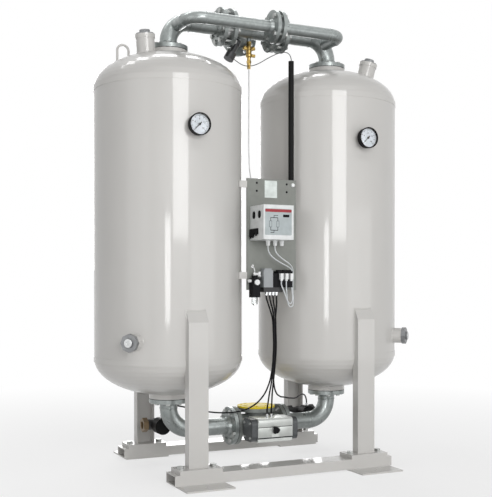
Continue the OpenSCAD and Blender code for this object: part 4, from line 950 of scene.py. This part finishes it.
def neck_seats(side, fill, drain):
    """Foot, direction, radius and bead size of every round part welded on a vessel."""
    middle = Vector((TOWER_X * side, 0, 0))
    off, turn, lean, height = fill
    swing = Matrix.Rotation(math.radians(turn), 3, "Z")
    lean = math.radians(lean)
    upward = swing @ Vector((math.sin(lean), 0, math.cos(lean)))
    yield middle + swing @ Vector((off, 0, height)), upward, FILL_NECK_R, NECK_BEAD
    out = Vector((math.cos(math.radians(drain)), math.sin(math.radians(drain)), 0))
    yield middle + SHELL_R * out + Vector((0, 0, DRAIN_Z)), out, DRAIN_NECK_R, NECK_BEAD
    yield middle + Vector((0, -SHELL_R, GAUGE_Z)), Vector(FRONT), BOSS_R, BOSS_BEAD
    for off, height in EYE_ENDS:
        yield middle + Vector((off * side, 0, height)), Vector(UP), EYE_R, EYE_BEAD


def ring_on(solid, foot, along, radius):
    """Points where a round part meets the solid that it stands on."""
    across = along.orthogonal().normalized()
    other = along.cross(across)
    count = 2 * max(RIPPLES_LEAST, round(math.pi * radius / BEAD_STEP))
    points = []
    for step in range(count):
        angle = math.tau * step / count
        spoke = math.cos(angle) * across + math.sin(angle) * other
        above = foot + (radius + BEAD_OUT) * spoke + RAY_RISE * radius * along
        met, place, _, _ = solid.ray_cast(above / MM, -along)
        if not met:
            raise RuntimeError("A weld misses its vessel")
        points.append(place * MM)
    return points


def leg_edge(side, face):
    """Points up one edge of a leg, over its top and down the other edge, on the shell."""
    def on_shell(x):
        y = math.sqrt(SHELL_R ** 2 - x ** 2)
        return Vector((TOWER_X * side + x, face * y, LEG_CUT_Z + LEG_CUT_SLOPE * (LEG_CUT_R - y)))
    top = [on_shell(LEG_EDGE * (2 * i / LEG_WELD_STEPS - 1)) for i in range(LEG_WELD_STEPS + 1)]
    rows = int((top[0].z - LEG_WELD_FOOT) / BEAD_STEP)
    rise = [Vector((top[0].x, top[0].y, LEG_WELD_FOOT + BEAD_STEP * i)) for i in range(rows)]
    fall = [Vector((top[-1].x, top[-1].y, place.z)) for place in reversed(rise)]
    return rise + top + fall


def bead_along(points, size, closed):
    """A rippled bead of weld metal through points given in millimetres."""
    unselect()
    bead, spline = round_line("weld_run", "POLY", size / MM, BEAD_BEVEL, not closed)
    spline.points.add(len(points) - 1)
    spline.use_cyclic_u = closed
    for row, (point, place) in enumerate(zip(spline.points, points)):
        point.co = (*metres(place), 1.0)
        point.radius = 1.0 if row % 2 else BEAD_WAIST
    bead.select_set(True)
    bpy.context.view_layer.objects.active = bead
    bpy.ops.object.convert(target="MESH")
    bpy.ops.object.mode_set(mode="EDIT")
    face_outwards()
    return settle(bpy.context.object, "weld_run")


class DRYER_OT_weld_vessels(bpy.types.Operator):
    """Runs a painted fillet weld round each neck, boss and eye, and along the legs"""
    bl_idname = "dryer.weld_vessels"
    bl_label = "Weld the vessels"

    def execute(self, context):
        context.view_layer.update()
        runs = []
        for node, side, fill, drain in VESSEL_NECKS:
            for foot, along, radius, size in neck_seats(side, fill, drain):
                runs.append(bead_along(ring_on(NODES[node], foot, along, radius), size, True))
            runs += [bead_along(leg_edge(side, face), LEG_BEAD, False) for face in (-1, 1)]
        dress(joined("vessel_welds", runs), "paint")
        return {"FINISHED"}


# Pilot valve and drain plugs

PILOT_X = -10
BONNET = [(13, 0), (16.5, 2), (16.5, 16), (14, 19), (14, 38), (16, 40), (16, 52), (13, 55)]
BONNET_Z = 2150
BONNET_SIDES = 40
LOWER_NUT = [(11, 0), (12.5, 1.5), (12.5, 13), (11, 14.5)]
LOWER_NUT_Z = 2118
SIDE_CAP = [(8, 0), (8, 12), (11, 13), (11, 24), (9, 26), (4, 26.5)]
SIDE_CAP_OUT = 8
SIDE_CAP_Z = 2192
SIDE_CAP_RISE = 0.35
PLUG_CENTRE = [(20.5, -1), (20.5, 1), (19, 2.5), (9, 2.5), (8, 1.5)]
PLUG_SIDES = 48
PLUG_REACH = 451


class DRYER_OT_fit_pilot_valve(bpy.types.Operator):
    """Puts the collars and the side caps on the brass pilot valve"""
    bl_idname = "dryer.fit_pilot_valve"
    bl_label = "Fit the pilot valve"

    def execute(self, context):
        collars = [turned("valve_bonnet", BONNET, (PILOT_X, 0, BONNET_Z), UP, BONNET_SIDES),
                   turned("lower_nut", LOWER_NUT, (PILOT_X, 0, LOWER_NUT_Z), UP, HEX_SIDES)]
        for side in SIDES:
            foot = (PILOT_X + SIDE_CAP_OUT * side, 0, SIDE_CAP_Z)
            way = (side, 0, SIDE_CAP_RISE)
            collars.append(turned("side_cap", SIDE_CAP, foot, way, SCREW_SIDES))
        dress(joined("pilot_valve_collars", collars), "brass")
        return {"FINISHED"}


class DRYER_OT_face_plugs(bpy.types.Operator):
    """Puts the machined centres on the drain plugs"""
    bl_idname = "dryer.face_plugs"
    bl_label = "Face the plugs"

    def execute(self, context):
        reach = PLUG_REACH * math.sqrt(0.5)
        centres = [turned("plug_centre", PLUG_CENTRE, (side * (TOWER_X + reach), -reach, DRAIN_Z),
                          (side, -1, 0), PLUG_SIDES) for side in SIDES]
        dress(joined("plug_centres", centres), "steel")
        return {"FINISHED"}


# Actuator

ACT_Y = -230
PLATE_CORNER = 1
# Plate, its left, foot, right and top, how far it stands out, broken edge
FACE_PLATES = (
    ("upper_face", (-65, 217, 129, 250), 1.2, 0.4),
    ("right_face", (54, 164, 129, 214), 1.2, 0.4),
    ("left_face", (-65, 164, 10, 214), 0.5, 0.2),
    ("face_rib", (-64, 165, -61, 213), 1.4, 0.3),
)
RIB_COUNT = 13
RIB_PITCH = 6
# Black strips that stand for the shade in the actuator's two grooves: painted shade
GROOVE_SHADE_CORNER = 0.5
GROOVE_SHADE_EDGE = 0.2
LOWER_GROOVE_SHADE = ((-66.4, ACT_Y - 0.6, 157.5), (130.4, ACT_Y + 4, 163))
UPPER_GROOVE_SHADE = ((-65, ACT_Y - 0.5, 213.8), (129, ACT_Y, 217.2))
CAP_SCREW = [(6.5, 0), (6.5, 6.2), (5.9, 7.0), (3.4, 7.0), (3.4, 3.0)]
# Place across and direction of the screws of each end cap
CAP_ENDS = ((-98.5, LEFT), (162.5, RIGHT))
CAP_SCREW_YS = (-206, -139)
CAP_SCREW_ZS = (163, 236)


class DRYER_OT_trim_actuator(bpy.types.Operator):
    """Adds the ribbed face, black strips of painted shade in its two grooves, and the cap screws of
    the actuator
    """
    bl_idname = "dryer.trim_actuator"
    bl_label = "Trim the actuator"

    def execute(self, context):
        plates = [block(name, (x0, ACT_Y - out, z0), (x1, ACT_Y, z1), PLATE_CORNER, Y, edge)
                  for name, (x0, z0, x1, z1), out, edge in FACE_PLATES]
        rib = plates.pop()
        for step in range(1, RIB_COUNT):
            plates.append(copied(rib, Matrix.Translation(metres((RIB_PITCH * step, 0, 0)))))
        plates.append(rib)
        dress(joined("actuator_face", plates), "alloy")

        # Painted shade: black strips laid where the actuator's grooves are in shade
        groove_shades = [block(name, *corners, GROOVE_SHADE_CORNER, Y, GROOVE_SHADE_EDGE)
                 for name, corners in (("lower_groove_shade", LOWER_GROOVE_SHADE), ("upper_groove_shade", UPPER_GROOVE_SHADE))]
        dress(joined("actuator_groove_shades", groove_shades), "black")

        screws = [turned("cap_screw", CAP_SCREW, (x, y, z), way, SCREW_SIDES)
                  for x, way in CAP_ENDS for y in CAP_SCREW_YS for z in CAP_SCREW_ZS]
        dress(joined("actuator_cap_screws", screws), "bolt")
        return {"FINISHED"}


# Stage

CAMERA_AT = (-2.0824, -4.3549, 0.9398)
CAMERA_YAW = -0.441
CAMERA_PITCH = 0.011
SENSOR_WIDTH = 36.0
FLOOR_R = 60.0
FLOOR_SIDES = 96
WHITE = (1.0, 1.0, 1.0, 1.0)
# Lamp, its place, what it points at, its width and height, its power in watts
LAMPS = (
    ("front_window", (-0.72, -7.0, 2.55), (0.0, 0.0, 1.5), (2.8, 2.1), 165.0),
    ("low_window", (-2.45, -5.1, 1.10), (0.0, 0.0, 1.1), (0.75, 1.1), 32.0),
    ("left_fill", (-6.0, -2.5, 2.0), (0.0, 0.0, 1.1), (4.0, 4.0), 40.0),
    ("right_fill", (2.6, -4.6, 0.95), (0.2, 0.0, 0.4), (4.0, 1.6), 32.0),
    ("rear_fill", (2.0, 6.5, 2.6), (0.0, 0.0, 1.2), (4.0, 3.0), 150.0),
    ("skylight_front", (-0.4, -4.6, 6.0), (-0.2, 0.0, 1.9), (6.0, 0.8), 70.0),
    ("skylight_rear", (-0.4, 1.8, 5.4), (-0.2, 0.0, 1.9), (5.0, 0.6), 60.0),
)


def lamp(name, place, aim, size, power):
    """A soft rectangular light that the camera doesn't see."""
    unselect()
    bpy.ops.object.light_add(type="AREA", location=place)
    light = bpy.context.object
    light.name = name
    light.data.shape = "RECTANGLE"
    light.data.size, light.data.size_y = size
    light.data.energy = power
    light.rotation_euler = (Vector(aim) - Vector(place)).to_track_quat("-Z", "Y").to_euler()
    light.visible_camera = False


def seen_directly(near):
    """1 for what is seen by the camera, in a gloss or through glass, and 0 for what lights."""
    rays = added(near, "ShaderNodeLightPath").outputs
    seen = combine("MAXIMUM", rays["Is Camera Ray"], rays["Is Glossy Ray"])
    return combine("MAXIMUM", seen, rays["Is Transmission Ray"])


def blend(share, first, second, output):
    """Mixes two shaders by a share and puts them on an output."""
    both = added(share, "ShaderNodeMixShader")
    link(share, both.inputs["Fac"])
    link(first, both.inputs[1])
    link(second, both.inputs[2])
    link(both.outputs["Shader"], both.id_data.nodes[output].inputs["Surface"])


def floor_material(tint):
    """Pale floor near the dryer that turns to the white background further out."""
    mat, shader, place = new_material("studio_floor")
    far = added(shader, "ShaderNodeVectorMath")
    far.operation = "LENGTH"
    link(place, far.inputs[0])
    share = spread(far.outputs["Value"], low=0.65, high=1.0, at_low=1.2, at_high=4.0)
    mottle(shader, noise(place, scale=2.0), tint, low=0.99, high=1.0)
    shader.inputs["Roughness"].default_value = 0.8
    shader.inputs["Specular IOR Level"].default_value = 0.1
    white = added(shader, "ShaderNodeEmission", Strength=1.0)
    part = combine("MULTIPLY", seen_directly(shader), share)
    blend(part, shader.outputs["BSDF"], white.outputs["Emission"], "Material Output")
    return mat


def studio_world(ambient):
    """White behind the dryer, and a weaker even light on it."""
    world = bpy.data.worlds.new("studio")
    world.use_nodes = True
    even = world.node_tree.nodes["Background"]
    even.inputs["Color"].default_value = WHITE
    even.inputs["Strength"].default_value = ambient
    back = added(even, "ShaderNodeBackground", Color=WHITE, Strength=1.0)
    blend(seen_directly(even), even.outputs["Background"], back.outputs["Background"],
          "World Output")
    return world


class DRYER_OT_set_stage(bpy.types.Operator):
    """Sets the floor, the light and the camera"""
    bl_idname = "dryer.set_stage"
    bl_label = "Set the stage"

    def execute(self, context):
        stage = context.scene.dryer_stage
        unselect()
        bpy.ops.mesh.primitive_circle_add(vertices=FLOOR_SIDES, radius=FLOOR_R, fill_type="NGON")
        floor = context.object
        floor.name = "studio_floor"
        floor.data.materials.append(floor_material(stage.floor))

        context.scene.world = studio_world(stage.ambient)
        for row in LAMPS:
            lamp(*row)

        bpy.ops.object.camera_add(location=CAMERA_AT)
        camera = context.object
        camera.name = "photo_camera"
        camera.rotation_euler = (math.pi / 2 - CAMERA_PITCH, 0.0, CAMERA_YAW)
        camera.data.lens = stage.lens
        camera.data.sensor_width = SENSOR_WIDTH
        camera.data.shift_y = stage.rise
        camera.data.dof.use_dof = False
        context.scene.camera = camera
        context.scene.view_settings.view_transform = "Standard"
        return {"FINISHED"}


class DRYER_PT_panel(bpy.types.Panel):
    """Lists the steps that dress the dryer"""
    bl_idname = "DRYER_PT_panel"
    bl_label = "Air dryer"
    bl_space_type = "VIEW_3D"
    bl_region_type = "UI"
    bl_category = "Dryer"

    def draw(self, context):
        for step in STEPS:
            self.layout.operator(step.bl_idname)


STEPS = [
    DRYER_OT_coat_solids,
    DRYER_OT_lay_tubes,
    DRYER_OT_mark_gauges,
    DRYER_OT_face_controller,
    DRYER_OT_fit_panel,
    DRYER_OT_bead_welds,
    DRYER_OT_weld_vessels,
    DRYER_OT_fit_pilot_valve,
    DRYER_OT_face_plugs,
    DRYER_OT_trim_actuator,
    DRYER_OT_set_stage,
]
CLASSES = [DryerFinishes, DryerSizes, DryerStage, *STEPS, DRYER_PT_panel]


def register():
    for kind in CLASSES:
        bpy.utils.register_class(kind)
    bpy.types.Scene.dryer_finishes = PointerProperty(type=DryerFinishes)
    bpy.types.Scene.dryer_sizes = PointerProperty(type=DryerSizes)
    bpy.types.Scene.dryer_stage = PointerProperty(type=DryerStage)


def unregister():
    del bpy.types.Scene.dryer_stage
    del bpy.types.Scene.dryer_sizes
    del bpy.types.Scene.dryer_finishes
    for kind in reversed(CLASSES):
        bpy.utils.unregister_class(kind)


def main():
    register()
    for step in STEPS:
        family, name = step.bl_idname.split(".")
        getattr(getattr(bpy.ops, family), name)()


if __name__ == "__main__":
    main()
